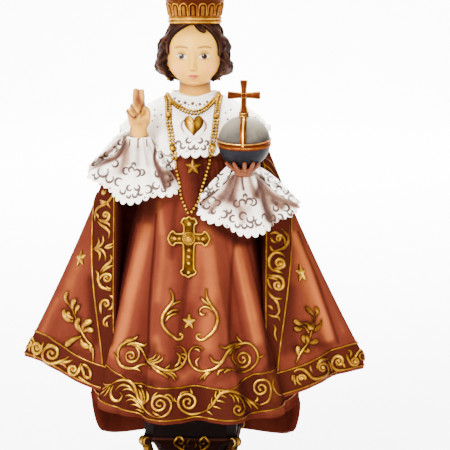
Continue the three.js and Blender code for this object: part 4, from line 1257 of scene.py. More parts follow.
def curl(x, y, radius, opening, line=0.3):
    """A letter C, open towards a direction in degrees and thickest opposite its opening."""
    angle = np.arctan2(y, x) - opening * DEGREE
    away = np.abs(np.angle(np.exp(1j * angle)))
    thick = line * (0.3 + 1.0 * away / math.pi)
    return (1 - smooth(np.abs(np.hypot(x, y) - radius), thick, thick * 1.9)) * smooth(away, 0.75, 1.05)


def cut_through(points, curls, dots):
    """The cuts that the photograph shows: curls as x, y, radius and opening, dots as x, y and radius."""
    places = on_photo(points)
    x, y = places[..., 0], -places[..., 1]
    cut = np.zeros(x.shape)
    for across, down, radius, opening in curls:
        cut = np.maximum(cut, curl(x - across, y + down, radius, opening, 0.72))
    for across, down, radius in dots:
        cut = np.maximum(cut, dot(x - across, y + down, radius))
    return cut


# The shoulders from the neck down: radii, and heights
SHOULDER_SIDE = ([11.5, 20, 28, 35, 40.5], [164, 160.5, 156, 151, 144.5])
SHOULDER_FRONT = ([11.5, 20.5, 27.6, 33, 35], [161.2, 156, 150, 141, 132.7])
SHOULDER_BACK = ([11.5, 20, 26, 30, 33], [163, 159, 151, 141, 131])


def shoulder_at(angle, share, rise=0.0):
    levels = np.linspace(0, 1, 5)
    (side_radius, side_height), (front_radius, front_height), (back_radius, back_height) = [
        (np.interp(share, levels, radii) + rise, np.interp(share, levels, heights))
        for radii, heights in (SHOULDER_SIDE, SHOULDER_FRONT, SHOULDER_BACK)]
    ahead = np.cos(angle) > 0
    depth = np.where(ahead, front_radius, back_radius)
    height = mix(np.where(ahead, front_height, back_height), side_height, np.sin(angle) ** 2)
    return stack(1.8 + side_radius * np.sin(angle), -1 - depth * np.cos(angle), height)


BIB_CURLS = [
    (188.7, 140.5, 2.4, 40), (200, 140.5, 2.4, 150), (183, 146, 2.4, 45), (190.6, 147.2, 2.3, 90),
    (196.4, 147, 2.3, 60), (178.4, 143.5, 2.2, -90), (203.5, 147.5, 2.2, 130), (206.5, 143, 2, 200),
    (174, 147, 2.2, 60), (211, 148, 2.2, 120),
]
BIB_DOTS = [
    (178.8, 101.4, 1.6), (185, 102.7, 1.8), (192.7, 103.5, 1.8), (200, 104.2, 1.6), (207.5, 102, 1.5),
    (212.5, 100.7, 1.4), (215.6, 98.2, 1.3), (174.5, 98.4, 1.3), (181, 104.4, 1.0), (188.4, 104.8, 1.0),
    (196.6, 105.5, 1.0), (204.4, 104.5, 1.0), (154.4, 110, 1.1), (161.2, 115.1, 1.1), (154.4, 115.8, 1.1),
    (152, 121, 1.0), (157, 127, 1.0), (231.2, 110.1, 1.2), (228.1, 119.5, 1.2), (226, 113, 1.0),
    (203.8, 149.2, 1.2), (187, 151.2, 0.9), (195, 151.8, 0.9), (179, 150, 0.9),
]
# Painted shade on the collar and shoulders, with the painted shadow of the orb's cross: strength, half width,
# and places on the photograph
BIB_DARKS = [
    (0.55, 3, [(164, 92), (169, 106), (182, 115.5), (197, 118), (211, 110), (221, 95)]),
    (0.5, 2.4, [(165, 118), (168, 140), (172, 152)]),
    (0.5, 2.4, [(219, 112), (217, 135), (214, 150)]),
    (0.55, 3, [(182, 128), (188, 136), (195, 139), (202, 134), (205, 126)]),
    (0.45, 5, [(150, 122), (154, 140), (160, 156)]),
    (0.35, 5, [(222, 112), (224, 128)]),
    (0.5, 3.5, [(237, 100), (241, 108), (243, 118)]),
]


# How far round the collar's hem runs for each radian, and how wide the collar is
COLLAR_RADIUS, COLLAR_WIDTH = 33.5, 36


def collar():
    cols, rows = ((460, 78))
    share, angle = grid(np.linspace(0, 1, rows), round_turns(cols))
    round_hem = COLLAR_RADIUS * angle
    plain = shoulder_at(angle, share)
    ahead = smooth(np.cos(angle), 0.2, 0.45)
    repeated = cut_work(round_hem, (1 - share) * COLLAR_WIDTH) * smooth(share, 0.5, 0.6)
    cut = np.maximum(repeated * (1 - ahead), cut_through(plain, BIB_CURLS, BIB_DOTS) * ahead)
    gather = np.cos(21 * angle + 3 * share)
    surface = shoulder_at(angle, share, 0.25 * gather * share - 0.45 * cut)
    surface[..., 2] -= 2.2 * (scallops(round_hem) - 1) * smooth(share, 0.9, 1)
    lip = surface[-1] - [0, 0, 1.1]
    under, inner = [(lip - [1.8, 0, 0]) * [size, size, 1] + [1.8, 0, 0.7] for size in (0.95, 0.6)]
    rings = np.concatenate([surface, [lip, under, inner]])
    # Painted shade in the gathers at the back and along BIB_DARKS; the rolled under side is painted in shade,
    # in the cut colour
    shadow = 0.07 + 0.3 * np.clip(-gather, 0, 1) * share * (1 - ahead)
    shadow = shadow + 0.6 * airbrushed(plain, BIB_DARKS) * ahead
    shadow = np.vstack([shadow, np.full((3, cols), 0.9)])
    cut = np.vstack([cut, np.zeros((1, cols)), np.ones((2, cols))])
    piece = Casting("lace_collar", "figure", "lace_paint", LACE)
    piece.add(skin(rings), shadow=shadow, cut=cut).build()
    return skin(rings)


def neck_edge():
    """The rolled edge of the neckline."""
    path = shoulder_at(np.linspace(-math.pi, math.pi, 161), 0.0) + [0, 0, 0.1]
    body, crest = sweep(path, [0, 0, 1], 1.7, 0.8, 1.0, 12, 0.0)
    # Painted shade on the roll, less along its top
    Casting("lace_neck_edge", "figure", "lace_paint", LACE).add(body, shadow=0.25 - 0.2 * crest).build()


# Sleeves: an open bell from the elbow, and inside it a gathered cuff that falls from the wrist

# Each sleeve's elbow, rim and wrist, and its cuff's hem as a middle with a reach to the side and forward
SLEEVES = {
    "right": {
        "elbow": (-32, 3, 134),
        "elbow_radius": 11.5,
        "rim": [(-25.5, -29, 147.5), (-40, -26, 137.5), (-53.4, -21, 125), (-45, -29, 117), (-28, -36, 113),
                (-12, -36, 115), (-3.8, -33, 120), (-13, -32, 134)],
        "wrist": (-25, -36.5, 143),
        "wrist_radius": 6.4,
        "hem_middle": (-28.0, -27.5, 122),
        "hem_side": (23.2, -5.5, -2.3),
        "hem_front": (0, -17.5, -11),
        "fold_turn": 0.5,
    },
    "left": {
        "elbow": (34, 2, 113),
        "elbow_radius": 12,
        "rim": [(29.5, -33, 126.5), (17, -36, 119), (5.6, -37, 108), (15, -41, 101), (31, -40, 97),
                (48, -35, 100), (57.6, -22, 108), (43, -28, 120)],
        "wrist": (30, -43, 124),
        "wrist_radius": 6.8,
        "hem_middle": (32.3, -30, 108.8),
        "hem_side": (24.9, 8, 0),
        "hem_front": (0, -19, -13.6),
        "fold_turn": -0.4,
    },
}


# Rings inside a sleeve: share of the way to the elbow, and width
SLEEVE_INSIDE = [(0.0, 0.97), (0.03, 0.92), (0.12, 0.82), (0.25, 0.7), (0.42, 0.55)]


def sleeve_bell(side):
    sleeve = SLEEVES[side]
    cols = 240
    rim = spline(sleeve["rim"], cols, closed=True)
    middle = rim.mean(0)
    away = rim - middle
    along = lace_lengths(rim)
    rings, cuts, shadows = [], [], []

    def ring_at(share, width, edge, cut, shadow):
        shape = mix(away, unit(away) * sleeve["elbow_radius"], share) * width
        rings.append(mix(middle, vector(*sleeve["elbow"]), share) + shape + unit(away) * edge[:, None])
        cuts.append(cut)
        shadows.append(np.full(cols, shadow))

    # Painted shade grows from the rim towards the elbow; inside, painted shade and the cut colour darken the
    # sleeve
    for share in np.linspace(1, 0, 30):
        cut = cut_work(along, share * 26) * (share < 0.55)
        edge = (scallops(along) - 0.6) * 1.2 * smooth(1 - share, 0.9, 1) - 0.35 * cut
        ring_at(share, np.interp(share, [0, 0.5, 1], [1.0, 1.07, 0.9]), edge, cut, 0.1 + 0.5 * share)
    for share, width in SLEEVE_INSIDE:
        edge = 0.5 * (scallops(along) - 0.6) * (share == 0.0)
        ring_at(share, width, edge, np.full(cols, 0.6 * share), 0.4 + 0.8 * share)
    piece = Casting(f"{side}_sleeve_bell", "figure", "lace_paint", LACE)
    piece.add(skin(rings), shadow=shadows, cut=cuts).build()
    return skin(rings)


def cuff_wave(sleeve, angle):
    """The large gathers round a cuff, from -1 in a valley to 1 on a ridge."""
    return np.cos(5 * angle + sleeve["fold_turn"])


def cuff_at(sleeve, angle, share, fine=True):
    start = sleeve["wrist"] + stack(np.sin(angle), -0.85 * np.cos(angle), 0) * sleeve["wrist_radius"]
    forward = np.where(np.cos(angle) > 0, np.cos(angle), np.cos(angle) * 0.25)[..., None]
    flare = (np.sign(np.sin(angle)) * np.abs(np.sin(angle)) ** 0.9)[..., None]
    end = sleeve["hem_middle"] + sleeve["hem_side"] * flare + sleeve["hem_front"] * forward
    spread = share**1.35
    x, y, z = [mix(start[..., k], end[..., k], way) for k, way in enumerate((spread, share**0.9, share))]
    front = smooth(np.cos(angle), -0.2, 0.3)
    wave = cuff_wave(sleeve, angle)
    gather = 2.4 * spread * wave + 1.2 * np.sin(math.pi * share)
    if fine:
        gather = gather + 0.55 * np.cos(14 * angle + 1) * bell(share, 0.3, 0.3)
        gather = gather + 0.5 * spread * np.cos(11 * angle + 2 * share)
    return stack(x + front * gather * np.sin(angle), y - front * gather * np.cos(angle),
                 z - front * 2 * spread * wave * np.cos(angle) ** 2)


# Painted shade on each cuff, which also presses the cloth in: strength, half width, and places on the
# photograph
CUFF_DARKS = {
    "right": [
        (0.95, 3, [(123.5, 134), (122.9, 140), (121, 148.5), (115, 157), (105, 161.5), (94, 166)]),
        (0.55, 4, [(124.5, 144), (123.5, 158), (121.5, 172)]),
        (0.35, 3, [(128, 147), (127, 163)]),
        (0.28, 4, [(138, 149), (137.5, 164)]),
        (0.3, 4, [(150.5, 146), (149.5, 163)]),
        (1.0, 2.4, [(155, 133), (157, 147), (156, 159), (159.5, 168), (164, 179), (166.5, 188)]),
        (0.75, 6, [(159, 166), (163, 176), (167, 184)]),
        (0.75, 4, [(163, 173), (172, 174), (172, 180)]),
        (0.85, 0.9, [(129, 139.5), (128.5, 145)]),
        (0.85, 0.9, [(138, 139.5), (138, 147)]),
        (0.85, 0.9, [(147.3, 139.5), (147.9, 146)]),
        (0.35, 4, [(100, 170), (104, 176)]),
        (0.3, 12, [(142, 142), (139, 158), (138, 170)]),
        (0.25, 7, [(130, 144), (129, 160)]),
        (0.25, 9, [(108, 160), (116, 172)]),
    ],
    "left": [
        (0.85, 5, [(230.7, 172), (227, 188), (222, 197)]),
        (0.7, 4.5, [(219, 199), (214, 205), (210, 211)]),
        (0.8, 5.5, [(236, 176), (233, 187), (229, 199)]),
        (1.0, 1.3, [(241.8, 173), (242, 182), (243.5, 189.5)]),
        (0.6, 4.5, [(249, 173), (252, 186), (255, 196)]),
        (0.9, 3.4, [(256, 170), (260, 178.4), (260.7, 187), (257.5, 195)]),
        (0.75, 2.6, [(263, 185), (264.6, 198), (266.6, 208), (270, 218)]),
        (0.62, 7, [(264, 196), (267, 208), (270, 217)]),
        (0.8, 4.2, [(262.5, 174), (264, 183), (271, 193), (280, 198.5), (290, 203), (297, 206)]),
        (0.85, 4.5, [(275, 201), (283, 207)]),
        (0.5, 4.5, [(233, 200), (240, 210), (243, 222)]),
        (0.45, 5, [(203, 201), (207, 207)]),
        (0.4, 3, [(267, 217), (272, 224)]),
        (0.42, 11, [(238, 178), (242, 192), (246, 206)]),
        (0.25, 9, [(225, 208), (236, 214), (250, 214)]),
        (0.25, 8, [(218, 190), (214, 200)]),
    ],
}
# Curls cut through a cuff: place on the photograph, radius, and the direction of the opening
CUFF_CURLS = {
    "right": [
        (102.3, 171.5, 5.2, 90), (114, 163.5, 3.3, 140), (109, 178.5, 3.8, 90), (118.5, 182, 3.8, -30),
        (125.6, 171, 3.3, 0), (131, 170, 2.6, -60), (133.5, 165, 1.8, -90), (136.9, 173, 3.4, 200),
        (141.9, 172.5, 2.8, 170), (129.4, 188, 2.6, 20), (137, 187.5, 2.6, 130), (122.5, 191.3, 2.6, 90),
        (134.8, 195, 2.3, 90), (140.6, 193, 2.2, 45), (148, 189.4, 3.8, 180), (156.5, 185.3, 3.5, 60),
        (158.8, 173.8, 3.0, 60), (164.4, 189.4, 2.4, 90), (169, 184, 2.8, 150), (172.5, 178, 2.6, 200),
        (96, 176, 2.4, 60), (128.5, 196, 1.8, 90),
    ],
    "left": [
        (210.5, 200.6, 3.8, -60), (215.5, 203, 2.8, 200), (223, 214.4, 3.5, 160), (232.8, 218.8, 3.2, 0),
        (237.4, 225, 2.4, 90), (243, 216.3, 3.7, -40), (250.5, 218.8, 3.5, 100), (244.3, 225.6, 2.6, 90),
        (250.5, 225, 2.6, 130), (258.6, 222, 3.2, 60), (265.3, 217, 2.8, -90), (277, 208, 2.8, 90),
        (286.8, 207.5, 3.5, 180), (272.4, 218, 3.5, 130), (280, 217, 2.8, 180), (236.5, 203.8, 3.3, 30),
        (242, 203, 3.2, -90), (249.5, 202, 3.2, -90), (245.1, 196.5, 1.8, -90), (253.3, 202, 3.5, 160),
        (205, 206, 2.8, 60), (212, 211, 2.6, 60), (274.5, 224.5, 2.0, 90), (228.5, 211, 2.4, 90),
        (290.5, 212, 2.6, 120),
    ],
}
# Dots cut through a cuff: place on the photograph, and radius
CUFF_DOTS = {
    "right": [
        (92.5, 175, 1.1), (100.5, 183.5, 1.0), (110, 188, 1.0), (145, 197, 1.0), (153, 193, 1.0),
        (167, 195, 1.0),
    ],
    "left": [
        (278.3, 203.5, 2.4), (201.5, 207, 1.0), (207.5, 213, 1.0), (219, 219, 1.0), (227, 225, 1.0),
        (256, 227, 1.0), (264, 226, 1.0), (284, 219, 1.0),
    ],
}


def cuff(side):
    sleeve = SLEEVES[side]
    cols, rows = ((400, 88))
    angles = round_turns(cols)
    hem = cuff_at(sleeve, angles, 1.0)
    along = lace_lengths(hem)
    share, angle = grid(np.linspace(0, 1, rows), angles)
    surface = cuff_at(sleeve, angle, share)
    ahead = smooth(np.cos(angle), 0.0, 0.2)
    cut = cut_through(surface, CUFF_CURLS[side], CUFF_DOTS[side]) * ahead
    dark = airbrushed(surface, CUFF_DARKS[side]) * ahead
    surface = surface - around(1.0, angle, 0.0) * (0.45 * cut + 1.2 * dark)[..., None]
    down = unit(hem - cuff_at(sleeve, angles, 0.93))
    surface += down * ((scallops(along) - 0.7) * 2.4 * smooth(share, 0.9, 1))[..., None]
    middle = vector(*sleeve["hem_middle"])
    lip, lip_in = [mix(surface[-1], middle, way) + [0, 0, up] for way, up in ((0.04, -0.25), (0.1, 0.4))]
    inner = mix(cuff_at(sleeve, angles, 0.8, False), middle, 0.35)
    rings = np.concatenate([surface, [lip, lip_in, inner]])
    # Painted shade in the gathers' valleys, along CUFF_DARKS and round the back; the inside of the hem is
    # painted in shade, in the cut colour
    shadow = 0.08 + 0.25 * np.clip(-cuff_wave(sleeve, angle), 0, 1) * share + 0.95 * dark + 0.6 * (1 - ahead)
    shadow = np.vstack([np.clip(shadow, 0, 1), np.full((3, cols), 0.9)])
    cut = np.vstack([cut, np.zeros((1, cols)), np.full((2, cols), 0.8)])
    piece = Casting(f"{side}_cuff", "figure", "lace_paint", LACE)
    piece.add(skin(rings), shadow=shadow, cut=cut).build()
    return skin(rings)


# The turned-over edges of the sleeves

# Each edge's mauve wash with painted shade, the outline's side and the scalloped side, in places on the
# photograph
FLAPS = {
    "right": [
        (0.5, [(126.5, 130.5), (116.2, 138), (104, 151.6), (94, 160.5), (89.8, 166)],
         [(124.4, 134), (119.6, 148.2), (110.5, 156), (101, 161), (93.5, 166.4)]),
        (0.08, [(153.5, 131.5), (160.5, 137.5), (169, 149), (175.5, 159), (178.6, 171)],
         [(154.2, 135.5), (156.4, 148), (157.4, 158), (162.5, 166.5), (173.5, 171)]),
    ],
    "left": [
        (0.22, [(227, 165.8), (217.5, 175.5), (207.5, 186), (200.8, 195), (199.4, 200.5)],
         [(231.5, 168.8), (227.5, 177.5), (220.4, 187.5), (210.5, 193.5), (201.5, 200)]),
        (0.05, [(261.2, 167.5), (270, 173.6), (280.5, 181.5), (291.8, 193.2), (297.5, 201.5)],
         [(260.8, 170.5), (265, 179.6), (271.8, 187.8), (281, 195.2), (296, 202.8)]),
    ],
}


def filled(depths):
    """Depths with the missed places filled in from their neighbours, first across and then along."""
    across, along = np.arange(depths.shape[1]), np.arange(len(depths))
    for row in depths:
        known = ~np.isnan(row)
        if known.any():
            row[:] = np.interp(across, across[known], row[known])
    known = ~np.isnan(depths[:, 0])
    return np.stack([np.interp(along, along[known], column[known]) for column in depths.T], axis=1)


FLAP_CURLS = {
    "right": [
        (120.5, 142.5, 2.3, 20), (114.5, 149.5, 2.5, 200), (106.5, 154.5, 2.3, 30),
        (100.5, 159.5, 2.4, 210), (94.5, 164, 1.9, 0), (159.5, 143.5, 2.2, 120), (164.5, 150.5, 2.4, -60),
        (160.5, 156, 2.0, 150), (170, 160, 2.5, 100), (168.5, 167, 2.2, -80), (174.5, 168, 2.0, 90),
    ],
    "left": [
        (221, 172.5, 2.2, 40), (216, 179, 2.4, 220), (218.5, 185, 2.0, 0), (210, 187, 2.5, 60),
        (205.5, 193.5, 2.4, 240), (211.5, 191.5, 1.9, 90), (266.5, 172.5, 2.0, 120), (270.5, 179, 2.4, -60),
        (277.5, 181.5, 2.2, 100), (279, 188.5, 2.3, -80), (286, 191.5, 2.4, 110), (291, 198, 2.2, -60),
    ],
}


FLAP_LENGTH, FLAP_WIDTH = 120, 22


def nearest_along(depths, reach):
    """At each place along, the least depth within reach."""
    padded = np.pad(depths, ((reach, reach), (0, 0)), "edge")
    return np.min([padded[k:k + len(depths)] for k in range(2 * reach + 1)], axis=0)


def flap(piece, ground, wash, curls, outer, inner):
    upper, lower = spline(outer, FLAP_LENGTH), spline(inner, FLAP_LENGTH)
    lace = scallops(length_along(lower) / 2.0)
    shares = np.linspace(0, 1, FLAP_WIDTH)
    turned = np.linspace(0, 1, FLAP_LENGTH)
    reach = np.clip(turned * 8, 0, 1) * np.clip((1 - turned) * 8, 0, 1)
    places = [[mix(start, end, share * (0.82 + 0.24 * hang)) for share in shares]
              for start, end, hang in zip(upper, lower, lace)]
    hits = [[ground.seen(place) for place in row] for row in places]
    depths = [[np.linalg.norm(hit[0] - EYE) if hit else np.nan for hit in row] for row in hits]
    depths = eased(eased(nearest_along(filled(np.array(depths)), 5), 30).T, 3).T
    lift = np.outer(reach, 0.35 + 1.25 * np.sin(shares * math.pi / 2))
    sights = np.array([[sight(place) for place in row] for row in places])
    top = EYE + sights * (depths - lift)[..., None]
    bottom = EYE + sights * (depths + 0.5)[..., None]
    # Dark dots of painted shade between the scallops, in the cut colour
    shade_between_scallops = np.outer(smooth(lace, 0.96, 1.0) * (np.arange(FLAP_LENGTH) % 3 > 0), bell(shares, 0.8, 0.06))
    cut = np.maximum(shade_between_scallops, cut_through(top, curls, []))
    # Painted shade across the flap, and its under side painted in shade
    tint = np.broadcast_to(wash + 0.16 * bell(shares, 0.4, 0.3), cut.shape)
    piece.add(skin(np.concatenate([top, bottom[:, ::-1]], axis=1)),
              shadow=np.hstack([tint, np.full(cut.shape, 0.9)]), cut=np.hstack([cut, np.zeros(cut.shape)]))


robe_form = robe()
cape_form = cape()
collar_form = collar()
neck_edge()
for side in ("right", "left"):
    bell_form, cuff_form = sleeve_bell(side), cuff(side)
    sleeve_edges = Casting(f"{side}_sleeve_edges", "figure", "lace_paint", LACE)
    for wash, outer, inner in FLAPS[side]:
        flap(sleeve_edges, Ground(bell_form, cuff_form), wash, FLAP_CURLS[side], outer, inner)
    sleeve_edges.build()


# Head

HEAD = np.array([1.8, -1, 184.5])
HEAD_HALF_HEIGHT = 17.8
EYE_APART, EYE_LIFT, EYE_HALF, EYE_OPEN = 6.1, 183.3, 3.0, 1.6
NOSE_TIP, MOUTH, CHIN = 177.6, 173.2, 169.0
BROW_LIFT = 188.0
# The hill, hollow or ridge that each feature is: middle to the side and up, half sizes, and rise
FEATURES = [
    (EYE_APART, BROW_LIFT - 0.6, 4.4, 1.6, 0.45),
    (EYE_APART - 0.3, EYE_LIFT + 0.7, 4.0, 2.8, -1.5),
    (EYE_APART, EYE_LIFT, 2.5, 1.8, 1.25),
    (EYE_APART, EYE_LIFT - 2.6, 3.0, 0.7, 0.25),
    (0, EYE_LIFT - 0.5, 1.4, 4.2, 1.0),
    (0, NOSE_TIP + 0.9, 1.35, 2.1, 2.3),
    (0, NOSE_TIP, 1.1, 0.9, 0.7),
    (1.55, NOSE_TIP - 0.2, 0.8, 0.7, 0.85),
    (0.75, NOSE_TIP - 1.0, 0.4, 0.3, -0.5),
    (0, MOUTH + 0.1, 4.2, 2.4, 0.7),
    (0.9, MOUTH + 0.75, 1.5, 0.5, 0.75),
    (0, MOUTH + 2.1, 0.5, 0.9, -0.22),
    (0, MOUTH - 0.85, 1.7, 0.6, 0.9),
    (0, MOUTH, 3.0, 0.2, -0.7),
    (3.4, MOUTH, 0.5, 0.5, -0.35),
    (0, MOUTH - 2.3, 2.2, 0.6, -0.5),
    (0, CHIN + 0.2, 3.2, 1.7, 1.3),
    (8.4, 176.6, 4.2, 4.0, 1.0),
]


def head_base(angle, height):
    jaw = smooth(-height, 0.25, 1)
    cheek = bell(height, -0.38, 0.3)
    width = 15.4 * (1 - 0.12 * jaw) + 0.7 * cheek
    depth = np.where(np.cos(angle) > 0, 16 + 0.5 * cheek, 16.5)
    level = np.where(height > 0, (1 - np.abs(height) ** 2.6) ** 0.45, (1 - height**2) ** 0.44)
    return stack(HEAD[0] + width * level * np.sin(angle), HEAD[1] - depth * level * np.cos(angle),
                 HEAD[2] + HEAD_HALF_HEIGHT * height)


def oval(x, z, middle_x, middle_z, half_width, half_height):
    """1 in the middle of a soft oval, 0 far from it."""
    return np.exp(-(((x - middle_x) / half_width) ** 2) - ((z - middle_z) / half_height) ** 2)


def face_relief(x, z):
    """How far a calm child's face stands out; x is taken from the middle of the face."""
    return sum(rise * oval(np.abs(x), z, *place) for *place, rise in FEATURES)


def almond(x, z):
    """Below 1 inside the opening of an eye; the outer corner is a little higher."""
    side = np.abs(x) - EYE_APART
    middle = EYE_LIFT + 0.08 * side
    share = np.sqrt(np.clip(1 - (side / EYE_HALF) ** 2, 0.02, 1))
    half_open = EYE_OPEN * np.where(z > middle, 1.0, 0.8) * share
    return np.where(np.abs(side) < EYE_HALF, np.abs(z - middle) / half_open, 9.0)


def feature_paint(x, z, eye, inside):
    """The eyes and what is drawn in dark round them, the brows, the lips and the blush."""
    across, side = np.abs(x), np.abs(x) - EYE_APART
    from_iris = np.hypot(side, z - (EYE_LIFT + 0.2))
    from_glint = np.hypot(x - np.sign(x) * EYE_APART + 0.5, z - EYE_LIFT - 0.85)
    upper = z > EYE_LIFT + 0.08 * side
    lash = bell(eye, 1.03, 0.22) * np.where(upper, 1.0, 0.45)
    lid_line = 0.5 * bell(eye, 1.75, 0.13) * upper * smooth(EYE_HALF - np.abs(side), 0, 0.8)
    arch = BROW_LIFT + np.cos(np.clip(side / 4.2, -1, 1) * 1.4) - 0.5
    brow = bell(z, arch, 0.5) * smooth(4.4 - np.abs(side), 0, 1.6) * 0.9
    bow = MOUTH + 1.4 - 0.35 * bell(x, 0, 0.6) - 0.15 * x**2
    bottom = MOUTH - 1.75 + 0.22 * x**2
    lip = smooth(bow - z, 0, 0.3) * smooth(z - bottom, 0, 0.4) * smooth(3.6 - across, 0, 0.8) * 0.85
    seam = bell(z, MOUTH, 0.17) * smooth(3.4 - across, 0, 0.8) * 0.7
    nostril = 0.6 * oval(across, z, 0.8, NOSE_TIP - 1.05, 0.42, 0.28)
    return {
        "eye_white": inside,
        "iris": (1 - smooth(from_iris, 1.4, 1.65)) * inside,
        "pupil": (1 - smooth(from_iris, 0.7, 0.95)) * inside,
        "glint": (1 - smooth(from_glint, 0.1, 0.3)) * inside,
        "lash": np.clip(lash + nostril + seam, 0, 1),
        "brow": np.maximum(brow, lid_line),
        "lip": lip,
        "blush": oval(across, z, 8.6, 177.0, 3.8, 3.0) + 0.35 * oval(x, z, 0, CHIN, 3.0, 1.8),
    }


def face_shade(x, z, eye):
    """Soft shade in the sockets, beside and under the nose, and under the lips."""
    across, side = np.abs(x), np.abs(x) - EYE_APART
    socket = 0.3 * oval(side, z, 0, EYE_LIFT + 2.6, 3.4, 1.3) + 0.25 * bell(eye, 1.5, 0.35)
    beside_nose = bell(across, 1.9, 0.6) * smooth(z, NOSE_TIP - 0.6, NOSE_TIP + 1) * smooth(187 - z, 0, 3)
    under_nose = 0.35 * oval(x, z, 0, NOSE_TIP - 1.5, 1.5, 0.5)
    under_lips = 0.3 * oval(x, z, 0, MOUTH - 2.6, 2.0, 0.5)
    return socket + 0.22 * beside_nose + under_nose + under_lips


def head():
    cols, rows = ((230, 138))
    height, angle = grid(np.sin(np.linspace(-86, 64, rows) * DEGREE), round_turns(cols, 0.45))
    plain = head_base(angle, height)
    x, z = plain[..., 0] - HEAD[0], plain[..., 2]
    ahead = smooth(np.cos(angle), 0.25, 0.6)
    out = unit(plain - (HEAD - [0, 0, 1]))
    out[..., 2] *= 0.35
    surface = plain + unit(out) * (face_relief(x, z) * ahead)[..., None]
    eye = almond(x, z)
    inside = 1 - smooth(eye, 0.86, 1.0)
    lid = bell(eye, 1.22, 0.2) * (np.abs(np.abs(x) - EYE_APART) < EYE_HALF)
    surface[..., 1] -= (0.28 * lid - 0.16 * inside) * ahead
    features = {key: value * ahead for key, value in feature_paint(x, z, eye, inside).items()}
    # Painted shade at the face's sides, at the hairline and, below, under the head
    shade = face_shade(x, z, eye) * ahead + 0.55 * smooth(np.abs(x), 9.5, 14.5) + 0.45 * smooth(z, 192, 198)
    piece = Casting("head", "figure", "skin_paint", SKIN)
    piece.add(skin(surface), shadow=shade + 0.7 * smooth(-height, 0.82, 1.0), **features)
    neck = limb([(1.5, 1.5, 150), (1.7, 0.9, 160), (1.8, 0.5, 172)], lambda s: mix(9.2, 8.4, s), 40, 32)
    # Painted shade under the chin, deepest in umber
    under_chin = smooth(neck[0][:, 2], 163, 169.5)
    piece.add(neck, shadow=0.25 + 0.7 * under_chin, blush=0.03, umber=0.12 * smooth(under_chin, 0.6, 1))
    piece.build()


# Hair: one mass with locks laid over it

HAIR_FALL = [
    # Height, half widths to the left and right as the eye sees them, reach of the back
    (202, 13.4, 13.4, 15),
    (196.4, 14.4, 14.2, 17.2),
    (191, 17.2, 16.2, 18),
    (185.8, 18.4, 17.2, 18.4),
    (180, 20.5, 18.7, 18.2),
    (177.6, 19.8, 18.5, 18),
    (175.1, 18.6, 17.8, 17),
    (173, 16.2, 15.2, 15),
    (171.2, 12.8, 11.2, 12.6),
    (169.6, 8, 7, 8),
]
LOCK_COUNT, LOCK_RISE = 12, 0.7
MASS_ROWS, MASS_COLS = 70, 220


def hair_at(angle, z, rise=0.0):
    levels = np.array(HAIR_FALL)[::-1]
    left, right, back = [np.interp(z, levels[:, 0], levels[:, k]) for k in (1, 2, 3)]
    turn = np.abs(angle) / DEGREE
    sway = 6 * np.sin(z * 0.5)
    locks = LOCK_RISE * np.cos(LOCK_COUNT * (turn + sway) * DEGREE) * smooth(turn, 50, 60)
    behind_face = 1 - smooth(turn, 42, 54) * (1 - 0.35 * bell(z, 202, 4))
    width = np.where(angle < 0, left, right) + locks + rise
    depth = np.where(turn < 90, 15 + locks, back + locks) + rise
    full = stack(HEAD[0] + width * np.sin(angle), 1 - depth * np.cos(angle), z)
    hidden = stack(HEAD[0] + 8 * np.sin(angle), 1 - 7 * np.cos(angle), z)
    return mix(full, hidden, behind_face[..., None])


LOCK_LENGTH, LOCK_SIDES = 30, 16


def lay_lock(piece, path, width, thickness):
    """Adds a tapered lock of hair with strands drawn along it."""
    path = spline(path, LOCK_LENGTH)
    tangents = unit(np.gradient(path, axis=0))
    outward = unit(path - (HEAD + [0, 2, -4]))
    outward = unit(outward - (outward * tangents).sum(1, keepdims=True) * tangents)
    sideways = np.cross(outward, tangents)
    shares = np.linspace(0, 1, LOCK_LENGTH)
    taper = (np.sin(math.pi * np.clip(shares * 0.92 + 0.06, 0, 1)) ** 0.45)[:, None, None]
    angles = full_turn(LOCK_SIDES)
    strands = np.cos(5 * angles + 0.9)
    groove = 1 + 0.2 * strands
    flat = width * (np.cos(angles) * groove)[None, :, None] * sideways[:, None]
    raised = thickness * (np.sin(angles) * groove)[None, :, None] * outward[:, None]
    # Painted highlights along the outer side of the lock
    crest = np.outer(0.75 + 0.35 * np.sin(shares * 9), np.clip(np.sin(angles), 0, 1) * (0.6 + 0.5 * strands))
    piece.add(skin(path[:, None] + taper * (flat + raised) / 2), crest=crest)


def on_head(turn, height):
    """A place for a lock on the top of the head."""
    point = head_base(np.array(turn * DEGREE), np.array(height))
    return point + unit(point - HEAD) * 0.8


# Locks over the brow: turn and height of each place on the head, width and thickness
FRINGE = [
    ([(6, 0.89), (-12, 0.87), (-30, 0.79), (-45, 0.65), (-55, 0.46), (-60, 0.22), (-55, -0.02)], 3.4, 2.6),
    ([(2, 0.93), (-20, 0.91), (-42, 0.81), (-57, 0.65), (-67, 0.42), (-70, 0.16)], 3.6, 2.6),
    ([(-2, 0.96), (-32, 0.94), (-56, 0.84), (-71, 0.66), (-80, 0.44)], 3.6, 2.4),
    ([(-8, 0.98), (-50, 0.97), (-76, 0.87), (-88, 0.68)], 3.6, 2.2),
    ([(9, 0.9), (24, 0.86), (38, 0.76), (49, 0.6), (56, 0.4), (59, 0.16), (55, -0.06)], 3.3, 2.5),
    ([(14, 0.94), (34, 0.9), (52, 0.78), (64, 0.6), (70, 0.36)], 3.5, 2.4),
    ([(20, 0.97), (48, 0.94), (68, 0.82), (80, 0.62)], 3.5, 2.2),
    ([(6, 0.9), (11, 0.83), (16, 0.75), (21, 0.68), (26, 0.66), (28, 0.7)], 3.0, 2.2),
    ([(9, 0.9), (16, 0.84), (22, 0.77), (27, 0.73)], 2.4, 2.0),
]
